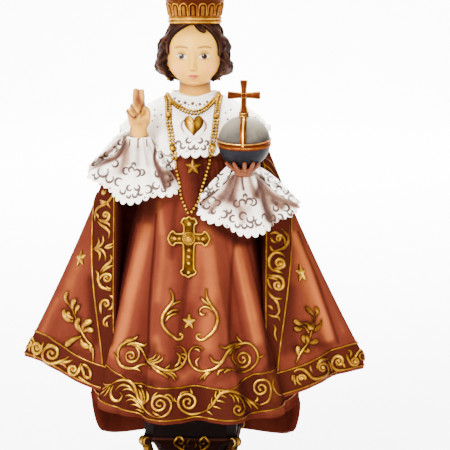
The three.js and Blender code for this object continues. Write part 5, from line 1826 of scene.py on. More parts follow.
# Locks that curl beside the neck: turn and height above the seat
NECK_CURLS = [
    [(-58, 187), (-61, 182.5), (-55, 179), (-53, 176), (-60, 173), (-72, 171.8)],
    [(58, 187), (61, 182), (55, 178.6), (53, 175.4), (60, 172.6), (71, 171.6)],
    [(-66, 177), (-58, 173.4), (-66, 171.2), (-84, 170.8)],
    [(66, 176.5), (58, 173.2), (67, 171), (85, 170.6)],
]


def hair_mass(piece):
    angles = np.linspace(-math.pi, math.pi, MASS_COLS, endpoint=False)
    z, angle = grid(np.linspace(201.5, 169.8, MASS_ROWS), angles)
    sway = 6 * np.sin(z * 0.5)
    strands = np.cos(50 * angle + 2.2 * np.sin(z * 0.5)) * 0.16
    # Painted highlights on the ridges of the mass's locks and strands
    crest = 0.25 + 0.2 * np.cos(LOCK_COUNT * (np.abs(angle) / DEGREE + sway) * DEGREE) + strands
    piece.add(skin(hair_at(angle, z, strands - 0.9)), crest=crest)
    piece.add(ball((HEAD[0], 1, 189), (14.6, 15.8, 13.5), 60, 30), crest=0.2)


def hanging_locks(piece, side):
    """Wavy locks from beside the face round to the back, fuller beside the face."""
    for k, turn in enumerate(np.linspace(51, 176, 15)):
        beside_face = k < 5
        path = []
        for height in np.linspace(201, 171 + 0.8 * (k % 3), 10):
            wave = height * 0.5 + 0.25 * k
            sway = (8.5 if beside_face else 5.5) * math.sin(wave) + random.uniform(-0.8, 0.8)
            swell = -0.35 + (0.9 if beside_face else 0.55) * math.sin(wave + 0.8)
            tuck = 2.4 * max(0.0, (174.5 - height) / 3.5)
            path.append(hair_at(side * (turn + sway) * DEGREE, height, swell - tuck))
        lay_lock(piece, path, 3.7 + 0.4 * (k % 2) + 0.7 * beside_face, 2.1 + 0.9 * beside_face)


def hair():
    piece = Casting("hair", "figure", "hair_paint", HAIR)
    hair_mass(piece)
    for side in (-1, 1):
        hanging_locks(piece, side)
    for places, width, thickness in FRINGE:
        lay_lock(piece, [on_head(turn, height) for turn, height in places], width, thickness)
    for places in NECK_CURLS:
        lay_lock(piece, [hair_at(turn * DEGREE, z, 0.3) for turn, z in places], 3.6, 2.6)
    piece.build()


def earrings():
    piece = Casting("earrings", "figure", "gold_paint", GOLD)
    for side in (-1, 1):
        piece.add(ball((HEAD[0] + side * 13.6, -9.8, 171.2), 0.8, 16, 12), crest=0.6)
    piece.build()


# Hands

def melted(bodies, name, voxel):
    """Bodies run together into one smooth skin; gives points and faces."""
    points, faces = joined(bodies)
    mesh = bpy.data.meshes.new(name)
    mesh.from_pydata(points, [], faces)
    piece = bpy.data.objects.new(name, mesh)
    bpy.context.scene.collection.objects.link(piece)
    remesh = piece.modifiers.new("remesh", "REMESH")
    remesh.mode, remesh.voxel_size = "VOXEL", voxel
    relax = piece.modifiers.new("relax", "SMOOTH")
    relax.factor, relax.iterations = 0.5, 2
    bpy.context.view_layer.update()
    shape = piece.evaluated_get(bpy.context.evaluated_depsgraph_get()).to_mesh()
    flat = np.empty(len(shape.vertices) * 3)
    shape.vertices.foreach_get("co", flat)
    result = flat.reshape(-1, 3), [list(polygon.vertices) for polygon in shape.polygons]
    bpy.data.objects.remove(piece)
    return result


ORB = np.array([30.0, -46, 141.5])
ORB_RADIUS, ORB_TILT = 13.5, 0.12


def finger(thick, tip, points):
    return limb(points, lambda s: mix(thick, tip, s) * (1 + 0.06 * math.sin(3 * TURN * s)), 14, 22)


# The raised fingers, the folded ones and the thumb: thickness at both ends, and a line
RIGHT_FINGERS = [
    (1.85, 1.6, [(-25.9, -38.4, 154), (-26.1, -38.8, 160), (-26.2, -38.8, 163.5), (-26.1, -38.0, 167.3)]),
    (1.8, 1.55, [(-22.9, -38.4, 154), (-22.9, -38.8, 160), (-23.0, -38.8, 163.5), (-23.2, -38.0, 167.0)]),
    (1.55, 1.4, [(-27.2, -38.3, 155.5), (-27.5, -41.0, 159.3), (-26.2, -43.2, 158.6), (-24.6, -43.2, 156.6)]),
    (1.5, 1.3, [(-29.0, -38.0, 153.6), (-29.7, -40.6, 156.6), (-28.7, -42.6, 156.0), (-27.0, -42.8, 154.0)]),
    (1.75, 1.35, [(-20.6, -38.6, 150.5), (-19.8, -40.2, 154.6), (-20, -41.6, 157.2), (-21.4, -42.6, 158.5)]),
]
# Painted shade between and under the fingers: strength, half width, and places on the photograph
RIGHT_HAND_DARKS = [
    (0.75, 1.0, [(138.6, 91), (138.6, 97), (138.8, 103)]),
    (0.6, 3.2, [(138.5, 99), (141.5, 103), (143.5, 105)]),
    (0.85, 1.4, [(142, 106), (141.8, 109), (140.5, 112)]),
    (0.9, 0.9, [(131, 105.5), (134, 109.5), (137, 114)]),
    (0.9, 1.2, [(127, 111), (130, 115), (134, 117.5), (137.5, 115.5)]),
    (0.5, 1.6, [(145.5, 110), (144.5, 114), (141, 117.5)]),
    (0.6, 2.2, [(129.5, 128), (130.5, 137)]),
    (0.6, 2.2, [(149, 126), (148, 137)]),
    (0.7, 1.6, [(131, 137.5), (138, 140), (146, 137.5)]),
    (0.35, 4, [(134, 121), (138, 124), (145, 122)]),
    (0.4, 4, [(137, 90), (137, 104)]),
]


def right_hand():
    """Two fingers are raised, two are folded, and the thumb stands beside them."""
    wrist = [(-24.6, -36, 139), (-24.9, -37.4, 145), (-24.7, -37.8, 149)]
    bodies = [
        limb(wrist, lambda s: mix(5.0, 4.4, s), 24, 16),
        ball((-24.8, -38, 151.8), (5.4, 3.3, 5.4)),
        ball((-21.6, -39.0, 151.4), (2.4, 2.4, 4.2)),
    ]
    bodies += [finger(*place) for place in RIGHT_FINGERS]
    points, faces = melted(bodies, "right_hand_form", 0.4)
    darks = airbrushed(points, RIGHT_HAND_DARKS)
    # Painted shade, darker towards the wrist, with umber where it is deepest
    shade = np.clip(0.3 + darks + 0.25 * smooth(145 - points[:, 2], 0, 5), 0, 1)
    piece = Casting("right_hand", "figure", "skin_paint", SKIN)
    piece.add((points, faces), shadow=shade, blush=0.06, umber=0.4 * smooth(darks, 0.3, 1)).build()


# The fingers under the orb: turn from the front, and how far each reaches up the orb in degrees
LEFT_FINGERS = [(-59, 45), (-27, 46), (4, 47), (30, 46), (54, 42), (150, 46), (-150, 44)]
# Painted shade between the fingers: strength, half width, and places on the photograph
LEFT_HAND_DARKS = [
    (0.95, 1.5, [(231, 165), (233, 169), (236, 173.5)]),
    (0.95, 1.5, [(239.6, 164.5), (240, 169), (240.6, 173.5)]),
    (0.95, 1.5, [(249.6, 165), (248.4, 169), (247.2, 173)]),
    (0.95, 1.5, [(257, 167), (255, 169.5), (252.6, 172)]),
    (0.6, 4.5, [(233, 174), (239, 175), (248, 174.5), (256, 171.5)]),
]


def left_hand():
    """The orb stands on the palm, held by the fingertips."""
    wrist = [(30.5, -38, 116), (30.2, -41.5, 120), (30, -44, 123.4)]
    bodies = [limb(wrist, lambda s: mix(5.4, 4.6, s), 24, 16), ball((30, -45.5, 125.3), (5.2, 5.0, 2.2))]
    for turn, rise in LEFT_FINGERS:
        path = []
        for share in np.linspace(0, 1, 5):
            lift = mix(9, rise, share) * DEGREE
            reach = ORB_RADIUS + mix(1.7, 0.95, share)
            path.append(ORB + reach * around(math.sin(lift), turn * DEGREE, -math.cos(lift)))
        bodies.append(finger(1.3, 1.0, path))
    points, faces = melted(bodies, "left_hand_form", 0.38)
    away = points - ORB
    distance = np.linalg.norm(away, axis=1, keepdims=True)
    room = ORB_RADIUS + 0.05
    points = np.where(distance < room, ORB + away / distance * room, points)
    darks = airbrushed(points, LEFT_HAND_DARKS)
    # The whole hand is painted in shade, deepest in umber and between the fingers
    shade = np.clip(1.1 - 0.1 * smooth(131.5 - points[:, 2], 0, 5) + darks, 0, 1.25)
    piece = Casting("left_hand", "figure", "skin_paint", SKIN)
    piece.add((points, faces), shadow=shade, blush=0.04, umber=0.42).build()


head()
hair()
earrings()
right_hand()
left_hand()


robe_ground = Ground(robe_form)
cape_ground = Ground(cape_form)
collar_ground = Ground(collar_form, robe_form)


# Gold borders

MANTLE_EDGE = [
    (0.9, [(261.5, 161.6), (266, 166), (271, 171), (276.3, 177.4)]),
    (0.9, [(264, 158), (269, 161), (274, 168), (279, 176)]),
]


def cape_place(share, up):
    """A point of the cape at a height above its hem."""
    hem = cape_hem(share)
    return cape_at(share, (CAPE_TOP - hem - up) / (CAPE_TOP - hem))


def band_place(side, z, outer):
    """A point of the cape's front band, on its outer or inner line."""
    share = np.full(np.shape(z), 0.9)
    for _ in range(4):
        fall = (CAPE_TOP - z) / (CAPE_TOP - cape_hem(share))
        half_width, edge = cape_half_width(z), cape_edge(fall)
        x = band_edge(fall) if outer else edge + 1.1
        reach = np.clip((half_width - x) / (half_width - edge), 0.0, 1.0)
        share = CAPE_CORNER + (1 - CAPE_CORNER) * reach
    return cape_at(side * share, fall)


LINE_POINTS = 361


def borders():
    piece = Casting("gold_borders", "figure", "gold_paint", GOLD)
    angles = np.linspace(-math.pi, math.pi, LINE_POINTS)
    for shares in TUNIC_LINES:
        share = np.interp(angles / DEGREE, *shares)
        line(piece, robe_ground, tunic_at(angles, share), 0.95, 0.7)
    for up in CAPE_LINES:
        line(piece, cape_ground, cape_place(np.linspace(-0.995, 0.995, LINE_POINTS), up), 1.1, 0.75)
    for side in (-1, 1):
        line(piece, cape_ground, band_place(side, np.linspace(108, 16, 90), True), 1.2, 0.75)
        line(piece, cape_ground, band_place(side, np.linspace(128, 16, 100), False), 0.9, 0.6)
    relief(piece, cape_ground, MANTLE_EDGE, 0.7)
    piece.build()


def running_scroll(piece, ground, at, start, end, count, swing, middle):
    """A plainer scroll for the hidden sides: a wave with a curl in each bend."""
    shares = np.linspace(start, end, count * 16)
    phase = (shares - start) / (end - start) * count * math.pi
    piece.raised(*ground.under(at(shares, middle + swing * np.sin(phase))), 1.5, 0.9)
    step = (end - start) / count
    angle = np.linspace(0, 1.45 * TURN, 26)
    reach = 1 - 0.8 * np.linspace(0, 1, 26)
    for k in range(count):
        side = 1 if k % 2 == 0 else -1
        curl_shares = start + (k + 0.5) * step + 0.36 * step * reach * np.cos(angle)
        lift = middle - side * swing * 0.12 + side * swing * 0.95 * reach * np.sin(-angle)
        piece.raised(*ground.under(at(curl_shares, lift)), 1.4, 0.9, np.linspace(1.0, 0.6, 26))


def tunic_place(turn, up):
    upper, lower = [np.interp(turn, *line) for line in TUNIC_LINES]
    return tunic_at(turn * DEGREE, (upper + lower) / 2 - up / 140)


def scrollwork():
    piece = Casting("tunic_scrollwork", "figure", "gold_paint", GOLD)
    for strokes, boldness in ((TUNIC_SCROLLS, 1.3), (TUNIC_BORDER, 1.3), (FRONT_SCROLLS, 1.05)):
        relief(piece, robe_ground, strokes, 0.85, boldness=boldness)
    for start, end in ((75, 178), (-75, -178)):
        running_scroll(piece, robe_ground, tunic_place, start, end, 8, 3.2, 0)
    piece.build()
    piece = Casting("cape_scrollwork", "figure", "gold_paint", GOLD)
    for strokes, boldness in ((CAPE_HEM_SCROLLS, 1.5), (CAPE_BAND_SCROLLS, 1.45)):
        relief(piece, cape_ground, strokes, 0.8, boldness=boldness)
    for side in (-1, 1):
        running_scroll(piece, cape_ground, cape_place, side * 0.655, side * 0.02, 9, 2.8, 7.6)
    piece.build()
    piece = Casting("cape_sprigs", "figure", "gold_paint", GOLD)
    relief(piece, cape_ground, SPRIGS, 0.8, BUD_TAPER, 0.1, 1.6)
    piece.build()


# Stars, heart, chains and the pendant cross

def upright(out):
    """The directions to the side and up of a place whose surface looks out."""
    side = unit(np.cross([0, 0, 1], out))
    return side, np.cross(out, side)


def star(piece, ground, place, radius, turn, bright):
    centre, out = ground.seen(place)
    u, v = upright(out)
    tips = []
    for k in range(10):
        reach = radius if k % 2 == 0 else radius * 0.5
        angle = (90 + 36 * k + turn) * DEGREE
        tips.append(centre + reach * (math.cos(angle) * u + math.sin(angle) * v))
    tips, ups = ground.under(tips)
    rings = [tips - ups * 0.8, tips + ups * 0.55, mix(tips, centre, 0.12) + ups * 0.85,
             mix(tips, centre, 0.93) + out * 1.7]
    # Painted highlights on the apex and the tips, painted shade at the foot
    crest = np.array([[0.0] * 10, [0.25] * 10, [0.8, 0.4] * 5, [0.9] * 10])
    piece.add(skin(rings), crest=crest * bright)


# The waves that add up to the heart's outline, and its rings from the edge to the middle: size and rise
HEART_WAVES = (1.08875, -0.41875, -0.1675, -0.08375)
HEART_RINGS = [(0.8, -0.6), (0.96, 0.1), (1.0, 0.6), (0.95, 1.1), (0.84, 1.6), (0.68, 2.0), (0.5, 2.3),
               (0.3, 2.55), (0.1, 2.65)]


def heart(piece, ground, place, size):
    centre, out = ground.seen(place)
    out = unit(out + vector(0, -0.6, 0))
    u, v = upright(out)
    angles = full_turn(48)
    across = np.sin(angles) ** 3
    up = sum(part * np.cos(k * angles) for k, part in enumerate(HEART_WAVES, 1))
    rings, crests = [], []
    for share, rise in HEART_RINGS:
        ridge = 0.35 * (1 - share) * np.abs(np.sin(3 * angles))
        rings.append(centre + size * share * (across[:, None] * u + up[:, None] * v)
                     + (rise + ridge)[:, None] * out)
        # Painted highlight left of the middle, painted shade right of it, and lighter where the heart rises
        lit = 0.4 * bell(across * share, -0.3, 0.2) - 0.3 * bell(across * share, 0.1, 0.22)
        crests.append(0.1 + 0.68 * (rise / 2.65) + lit)
    piece.add(skin(rings), crest=np.clip(crests, 0, 1))


CHOKER = [(166.6, 93.5), (171.3, 103), (183.2, 111.8), (197.4, 114.6), (210.4, 106.5), (219.9, 94.7)]
CHAINS = [
    [(167.2, 96.5), (168.6, 104), (169, 116.8), (170, 128), (173.7, 149), (175, 158), (177.5, 172),
     (180.3, 187.7), (182, 198), (185.7, 207.4), (188.8, 213.5)],
    [(219.6, 96.5), (218, 104), (216, 117.5), (214.4, 131.6), (211.6, 145.6), (210, 154.7), (207.4, 168.8),
     (203, 183.5), (200, 195), (197, 204), (190.5, 213.5)],
]
HEART_CURLS = [
    (0.9, [(184.5, 119.5), (181.8, 123), (181.6, 128), (184.5, 132.5)]),
    (0.9, [(203, 119.5), (205.6, 123), (205.8, 128), (203, 132.5)]),
]
LARGE_BEADS = [(169, 116.8), (173.3, 149), (216, 117.5), (211.8, 145.6)]
HEART_PLACE, HEART_SIZE = (193.7, 125.2), 5.1
# Each star's cloth, place, radius, turn and brightness; a low brightness paints the star in shade
STARS = [
    (robe_ground, (193, 166.7), 4.7, 0, 0.6),
    (robe_ground, (189.4, 321.6), 4.6, 0, 1),
    (cape_ground, (81.4, 258.6), 5.0, 14, 1.1),
    (cape_ground, (300.2, 273.4), 5.2, -4, 1.1),
]


def bead(piece, ground_point, normal, radius, lift, detail):
    """A bead standing proud of the cloth, with a painted highlight on its outer side and painted shade where
    it meets the cloth.
    """
    point = ground_point + normal * radius * lift
    body = ball(point, radius * random.uniform(0.94, 1.06), *detail)
    outward = (body[0] - point) @ normal / radius
    piece.add(body, crest=np.clip(0.3 + 0.7 * outward, 0, 1) * random.uniform(0.85, 1.1))


CHAIN_POINTS = 200


def beads(piece, path, radius, gap, shift=0.0):
    """A chain of beads along a path on the photograph, shifted to the side."""
    points, normals = collar_ground.trace(spline(path, CHAIN_POINTS))
    points = eased(points, 6)
    along = length_along(points)
    for distance in np.arange(radius, along[-1], gap):
        point, normal = [np.array([np.interp(distance, along, values[:, axis]) for axis in range(3)])
                         for values in (points, normals)]
        bead(piece, point + camera_right * shift, unit(normal), radius, 0.7, (9, 7))


def chains():
    piece = Casting("gold_chains", "figure", "gold_paint", YELLOW_GOLD)
    beads(piece, CHOKER, 0.88, 1.8)
    beads(piece, [(x, y - 3) for x, y in CHOKER], 0.88, 1.8)
    for chain in CHAINS:
        beads(piece, chain[:6], 0.94, 1.95, -0.9)
        beads(piece, chain[:6], 0.94, 1.95, 0.9)
        beads(piece, chain[5:], 0.86, 2.05)
    for place in LARGE_BEADS:
        bead(piece, *collar_ground.seen(place), 1.75, 0.57, (16, 12))
    relief(piece, collar_ground, HEART_CURLS, 0.6)
    piece.build()


def heart_and_stars():
    piece = Casting("gold_heart", "figure", "gold_paint", YELLOW_GOLD)
    heart(piece, collar_ground, HEART_PLACE, HEART_SIZE)
    piece.build()
    piece = Casting("gold_stars", "figure", "gold_paint", YELLOW_GOLD, smooth_faces=False)
    for place in STARS:
        star(piece, *place)
    piece.build()


CROSS_BOSS, CROSS_FOOT, CROSS_HEAD = (189.2, 238.4), (188.6, 276.0), (189.4, 217.5)
# Half of the pendant cross, in parts to the side and up from its boss
CROSS_OUTLINE = [
    (0, 11.9), (1.4, 10.6), (3.0, 10.9), (4.3, 8.6), (2.7, 7.2), (2.7, 2.4), (7.2, 2.3), (8.4, 4.0),
    (10.0, 2.9), (11.4, 0), (10.0, -2.9), (8.4, -4.0), (7.2, -2.3), (2.7, -2.4), (2.7, -16.4), (4.3, -17.8),
    (2.9, -19.6), (1.4, -19.8), (0, -21.0),
]


# Stones on the cross: places to the side and up from its boss, and radii
CROSS_STONES = [(0, 7.6, 1.05), (-7.4, 0, 0.95), (7.4, 0, 0.95), (0, -6.0, 0.85), (0, -9.4, 0.85),
                (0, -12.8, 0.85), (0, -17.6, 0.9), (-5.0, 0, 0.6), (5.0, 0, 0.6)]


def pendant_cross():
    centre, top, foot = [robe_ground.seen(place)[0] for place in (CROSS_BOSS, CROSS_HEAD, CROSS_FOOT)]
    v = unit(top - foot)
    u = unit(np.cross([0, 1, 0], v))
    out = np.cross(u, v)
    outline = np.array(CROSS_OUTLINE + [(-x, y) for x, y in CROSS_OUTLINE[-2:0:-1]])
    under, _ = robe_ground.under([centre + x * u + y * v for x, y in outline])
    lift = max(0.0, ((under - centre) @ out).max()) * 0.5 + 0.3

    def place(x, y, rise):
        return centre + x * u + y * v + (rise + lift) * out

    piece = Casting("pendant_cross", "figure", "gold_paint", YELLOW_GOLD)
    floor = np.array([place(x, y, 0.6) for x, y in outline])
    count = len(outline)
    faces = [[k, (k + 1) % count, (k + 1) % count + count, k + count] for k in range(count)]
    faces += [list(range(count))[::-1], list(range(count, 2 * count))]
    piece.add((np.vstack([floor - out * 2.2, floor]), faces), crest=0.42)
    rim = np.vstack([outline, outline[:1]]) * 0.965
    steps = np.linspace(0, 1, 8, endpoint=False)[:, None]
    dense = np.vstack([mix(start, end, steps) for start, end in zip(rim, rim[1:])] + [rim[:1]])
    piece.raised(np.array([place(x, y, 0.6) for x, y in eased(dense, 4)]), out, 1.15, 0.85, shine=0.85)
    for radius, rise, width in ((3.1, 0.6, 1.0), (2.0, 0.9, 0.7)):
        ring = [place(radius * math.cos(a), radius * math.sin(a), rise) for a in np.linspace(0, TURN, 49)]
        piece.raised(np.array(ring), out, width, 1.0, shine=0.7)
    piece.add(ball(place(0, 0, 0.9), 1.9, 20, 14), crest=0.72)
    for x, y, radius in CROSS_STONES:
        piece.add(ball(place(x, y, 0.7), radius, 14, 10), crest=0.85)
    for angle in full_turn(16):
        piece.add(ball(place(2.5 * math.cos(angle), 2.5 * math.sin(angle), 1.2), 0.32, 8, 6), crest=0.8)
    piece.build()


borders()
scrollwork()
chains()
heart_and_stars()
pendant_cross()


# Crown

CROWN_PARTS = 47
CROWN_SPACE = (vector(HEAD[0] * PART, PART, crown_low.z), (crown_high.z - crown_low.z) / CROWN_PARTS, 0.0)
CROWN_RADIUS, CROWN_BAND, CROWN_WALL_TOP, CROWN_CAP_TOP = 13.9, 3.4, 21.15, 34.8
PETALS, FLEURONS = 18, 9


def crown_radius(z):
    share = np.clip((z - CROWN_BAND) / (CROWN_WALL_TOP - CROWN_BAND), 0, 1)
    return CROWN_RADIUS * (1 + 0.34 * share**1.4)


CAP_RADIUS, CAP_SEAT, CROWN_THICK = crown_radius(19.4) - 1.6, CROWN_WALL_TOP - 2, 1.5


def raised_ring(piece, radius, z, width, height, sides=8):
    """A raised line all the way round an upright axis."""
    angle = np.linspace(0, TURN, 41)
    piece.raised(around(radius, angle, z), around(1.0, angle, 0.0), width, height, sides=sides)


GEM_LIFT = 17.2


def crown_wall(piece):
    """A tier of petals, a tier of gems between two lines, and a peaked rim."""
    cols, rows = ((504, 68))
    angles = full_turn(cols)
    peak = 5.2 * np.clip(np.cos(FLEURONS * angles), 0, 1) ** 1.3
    share, angle = grid(np.linspace(0, 1, rows), angles)
    z = share * CROWN_WALL_TOP
    petal, bay = TURN / PETALS, TURN / FLEURONS
    side, far, near = [within_cell(turn, cell) * crown_radius(z) for turn, cell in (
        (angle + petal / 2, petal), (angle + bay / 2, bay), (angle, bay))]
    arch = np.hypot(side, np.maximum(0, z - 8.6))
    above = smooth(z, 3.9, 4.6)
    outline = bell(arch, 2.05, 0.34) * above
    inner = bell(arch, 1.25, 0.2) * above
    leaf = np.sqrt(np.clip(1 - (arch / 1.15) ** 2, 0, 1)) * above
    gem = np.sqrt(np.clip(1 - (far / 1.7) ** 2 - ((z - GEM_LIFT) / 2.3) ** 2, 0, 1))
    small = np.sqrt(np.clip(1 - (near / 1.1) ** 2 - ((z - GEM_LIFT) / 1.1) ** 2, 0, 1))
    frame_ring = bell(np.hypot(far, (z - GEM_LIFT) * 0.78), 2.6, 0.36)
    lines = bell(z, 14.0, 0.4) + bell(z, 20.4, 0.45)
    band = (bell(z, 0.9, 0.55) + 0.9 * bell(z, 2.7, 0.5)) * (z < 4)
    rise = (0.55 * outline + 0.75 * leaf - 0.15 * inner + 0.9 * gem + 0.4 * frame_ring + 0.7 * small
            + 0.5 * lines + 0.75 * band)
    # The band is painted brighter, and the side that faces the light has a painted highlight
    highlighted = 0.38 * smooth(4.2 - z, 0, 0.5) + 0.14 * smooth(np.cos(angle + 0.8), 0.7, 1.0)
    # crest: lighter on the raised outlines and gems, painted shade in the groove inside each arch
    crest = (0.24 + 0.7 * outline + 0.45 * leaf - 0.5 * inner + 0.6 * gem + 0.7 * frame_ring + 0.6 * small
             + 0.7 * lines + 0.5 * band + highlighted)
    wall = around(crown_radius(z) + rise, angle, z + smooth(share, 0.93, 1.0) * peak)
    outer_top = crown_radius(CROWN_WALL_TOP) + 0.05 * peak
    rim = [around(outer_top - shift, angles, CROWN_WALL_TOP + peak + up) for shift, up in (
        (0.2, 0.25), (CROWN_THICK / 2, 0.4), (CROWN_THICK - 0.2, 0.25), (CROWN_THICK, 0))]
    rim.append(around(crown_radius(18) - CROWN_THICK, angles, 18.5))
    # The rim is painted bright on top and in shade inside
    rim_crest = np.repeat([[0.8], [0.8], [0.6], [0.6], [0.1]], cols, axis=1)
    piece.add(skin(np.concatenate([wall, rim])), crest=np.vstack([np.clip(crest, 0, 1), rim_crest]))


# Leaves of a fleuron: places across and up from its foot, and width
FLEURON_LEAVES = [
    ([(0, -1.2), (0, 1.5), (0, 4.4)], 1.6),
    ([(0, -0.8), (1.5, 0.6), (2.4, 2.0), (1.7, 2.9)], 1.0),
    ([(0, -0.8), (-1.5, 0.6), (-2.4, 2.0), (-1.7, 2.9)], 1.0),
]


def fleuron(piece, turn):
    out = around(1.0, turn, 0.0)
    across = vector(math.cos(turn), math.sin(turn), 0)
    foot = around(crown_radius(CROWN_WALL_TOP) + 0.1, turn, CROWN_WALL_TOP)

    def at(x, up):
        return foot + across * x + [0, 0, up] - out * x * x / 36

    for path, width in FLEURON_LEAVES:
        points = spline([at(x, up) for x, up in path], 14)
        piece.raised(points, out, width, 0.55, tapered(14, LEAF_TAPER), groove=0.2)
    piece.add(ball(at(0, 4.9), 0.75, 12, 8), crest=1.0)


def crown_arch(piece, turn):
    """An arch with a row of beads, from the wall to the middle of the top."""
    def at(lift, reach):
        rise = (CROWN_CAP_TOP - CAP_SEAT + reach) * np.sin(lift)
        return around((CAP_RADIUS + reach) * np.cos(lift), turn, CAP_SEAT + rise)

    points = at(np.linspace(0.05, math.pi / 2, 30), -0.1)
    piece.raised(points, unit(points - [0, 0, CROWN_WALL_TOP]), 2.6, 0.7, sides=10, groove=0.45)
    for lift in np.linspace(0.22, 1.42, 11):
        piece.add(ball(at(lift, 0.5), 0.62, 10, 8), crest=1.0)


def crown_top(piece):
    """The ball and the cross on top of the arches."""
    ball_seat = CROWN_CAP_TOP + 1.4
    piece.add(ball((0, 0, ball_seat), 2.7, 28, 18), crest=0.75)
    raised_ring(piece, 2.7, ball_seat, 0.8, 0.35)
    raised_ring(piece, 2.2, CROWN_CAP_TOP - 0.6, 1.4, 0.5)
    shares = np.linspace(0, 1, 15)
    flare = 0.8 + 0.45 * (2 * shares - 1) ** 2
    for start, end in (((0, 0, 38), (0, 0, 46.6)), ((-3.2, 0, 43.4), (3.2, 0, 43.4))):
        points = mix(vector(*start), vector(*end), shares[:, None])
        for out in ((0, -1, 0), (0, 1, 0)):
            piece.raised(points, out, 1.9, 0.8, flare)


def crown_cap():
    """The puffed cap inside the arches."""
    lift, turn = grid(np.linspace(0, 88, 30) * DEGREE, full_turn(96))
    puff = 0.35 * np.abs(np.sin(2 * turn)) * np.sin(2 * lift)
    height = CAP_SEAT + (CROWN_CAP_TOP - CAP_SEAT - 0.8) * np.sin(lift)
    piece = Casting("crown_cap", "crown", "painted_resin", ROBE, CROWN_SPACE)
    # Painted shade low on the cap between the arches; the puffs are painted lighter
    piece.add(skin(around((CAP_RADIUS - 0.9 + puff) * np.cos(lift), turn, height)),
              ridge=0.5 + puff, shadow=0.5 - 0.4 * np.sin(lift)).build()


def crown():
    piece = Casting("crown", "crown", "gold_paint", CROWN_GOLD, CROWN_SPACE)
    crown_wall(piece)
    for turn in full_turn(FLEURONS):
        fleuron(piece, turn)
    for turn in full_turn(4):
        crown_arch(piece, turn)
    crown_top(piece)
    piece.build()
    crown_cap()


# Orb

ORB_SPACE = (FIGURE_SPACE[0] + ORB * PART, PART, ORB_TILT)
# Ridges side by side on the orb's belt and on its hoop: shift, width, height and shine
BELT_RIDGES = [(0.0, 3.6, 0.4, 0.3), (1.4, 0.85, 0.8, 1.1), (-0.8, 1.7, 0.72, 0.85), (-1.65, 0.6, 0.5, 0.4)]
HOOP_RIDGES = [(0.0, 3.6, 0.4, 0.3), (-1.35, 0.7, 0.6, 0.75), (0.0, 1.7, 0.8, 1.15), (1.35, 0.7, 0.6, 0.6)]


def orb_globe():
    body = ball((0, 0, 0), ORB_RADIUS, 96, 64)
    light = body[0][:, 2] / ORB_RADIUS
    # light: painted light high on top and low below; painted shade beside the hoop
    beside_hoop = 0.13 * bell(body[0][:, 0], -1.0, 4.5) * smooth(light, 0.2, 0.5)
    piece = Casting("orb_globe", "orb", "orb_paint", ORB_BLUE, ORB_SPACE)
    piece.add(body, light=0.5 + 0.5 * light - beside_hoop).build()


def orb_belts(piece):
    """The belt round the middle, the half hoop over the top, and the cross's foot."""
    radius = ORB_RADIUS - 0.21
    angle = np.linspace(0, TURN, 121)
    for up, width, height, shine in BELT_RIDGES:
        points, normals = around(radius, angle, up), around(1.0, angle, 0.0)
        piece.raised(points, normals, width, height, sides=10, shine=shine)
    angle = np.linspace(0.02, math.pi - 0.02, 61)
    for side, width, height, shine in HOOP_RIDGES:
        normals = stack(0, -np.cos(angle), np.sin(angle))
        piece.raised(radius * normals + [side, 0, 0], normals, width, height, sides=10, shine=shine)
    raised_ring(piece, 2.2, ORB_RADIUS + 0.2, 1.3, 0.55, 10)
    raised_ring(piece, 2.1, ORB_RADIUS + 1.5, 1.2, 0.55, 10)
    piece.add(ball((0, 0, ORB_RADIUS + 0.8), (2.3, 2.3, 1.6), 24, 14), crest=0.6)


def orb_cross_bar(piece, start, end, flare):
    """One bar of the cross, with a raised rim on both faces."""
    shares = np.linspace(0, 1, 31)
    points = mix(start, end, shares[:, None])
    flare = np.interp(shares, np.linspace(0, 1, len(flare)), flare)
    for out in (vector(0, -1, 0), vector(0, 1, 0)):
        side = unit(np.cross(out, end - start))
        piece.raised(points, out, 2.5, 0.72, flare, shine=0.4)
        for way in (-1, 1):
            piece.raised(points + side * way * flare[:, None], out, 0.6, 0.85)
        for corner in (start, end):
            piece.raised(corner + side * np.linspace(-1.5, 1.5, 9)[:, None], out, 0.6, 0.85)


def orb_bands():
    piece = Casting("orb_bands", "orb", "gold_paint", COPPER_GOLD, ORB_SPACE)
    orb_belts(piece)
    foot, tip = vector(0, 0, ORB_RADIUS + 1.2), vector(0, 0, ORB_RADIUS + 18.3)
    left, right = [vector(reach, 0, ORB_RADIUS + 10.7) for reach in (-8.1, 8.1)]
    orb_cross_bar(piece, foot, tip, (1.75, 1.2, 1.15, 1.2, 1.65))
    orb_cross_bar(piece, left, right, (1.75, 1.35, 1.15, 1.35, 1.75))
    piece.build()


# Pedestal

# The pedestal is drawn in millimetres
MILLIMETRE = 0.001
PEDESTAL_SPACE = (np.zeros(3), MILLIMETRE, 0.0)
PLINTH = np.array([pedestal_high.x, pedestal_high.y]) / MILLIMETRE
BLOCK = np.array([25.4, 21.0])
PLINTH_THICK = 3.5
BLOCK_HIGH = pedestal_high.z / MILLIMETRE - PLINTH_THICK
CORNER_CUT, SIDE_POINTS, CORNER_POINTS = 0.2, 24, 8
# Rings from the plinth up: how far out from the block to the plinth, share of the height, brightness
FOOT_RINGS = [
    (1, 0.0, 0.2), (1, 0.02, 0.7), (0.985, 0.038, 0.8), (0.95, 0.045, 0.3), (0.87, 0.062, 0.2),
    (0.87, 0.085, 0.7), (0.86, 0.1, 0.6), (0.72, 0.105, 0.2), (0.55, 0.115, 0.25), (0.42, 0.138, 0.4),
]
# The waist: share of the block's size, share of the height
WAIST = [(0.84, 0.185), (0.68, 0.26), (0.62, 0.34), (0.66, 0.44), (0.8, 0.53), (0.965, 0.59)]
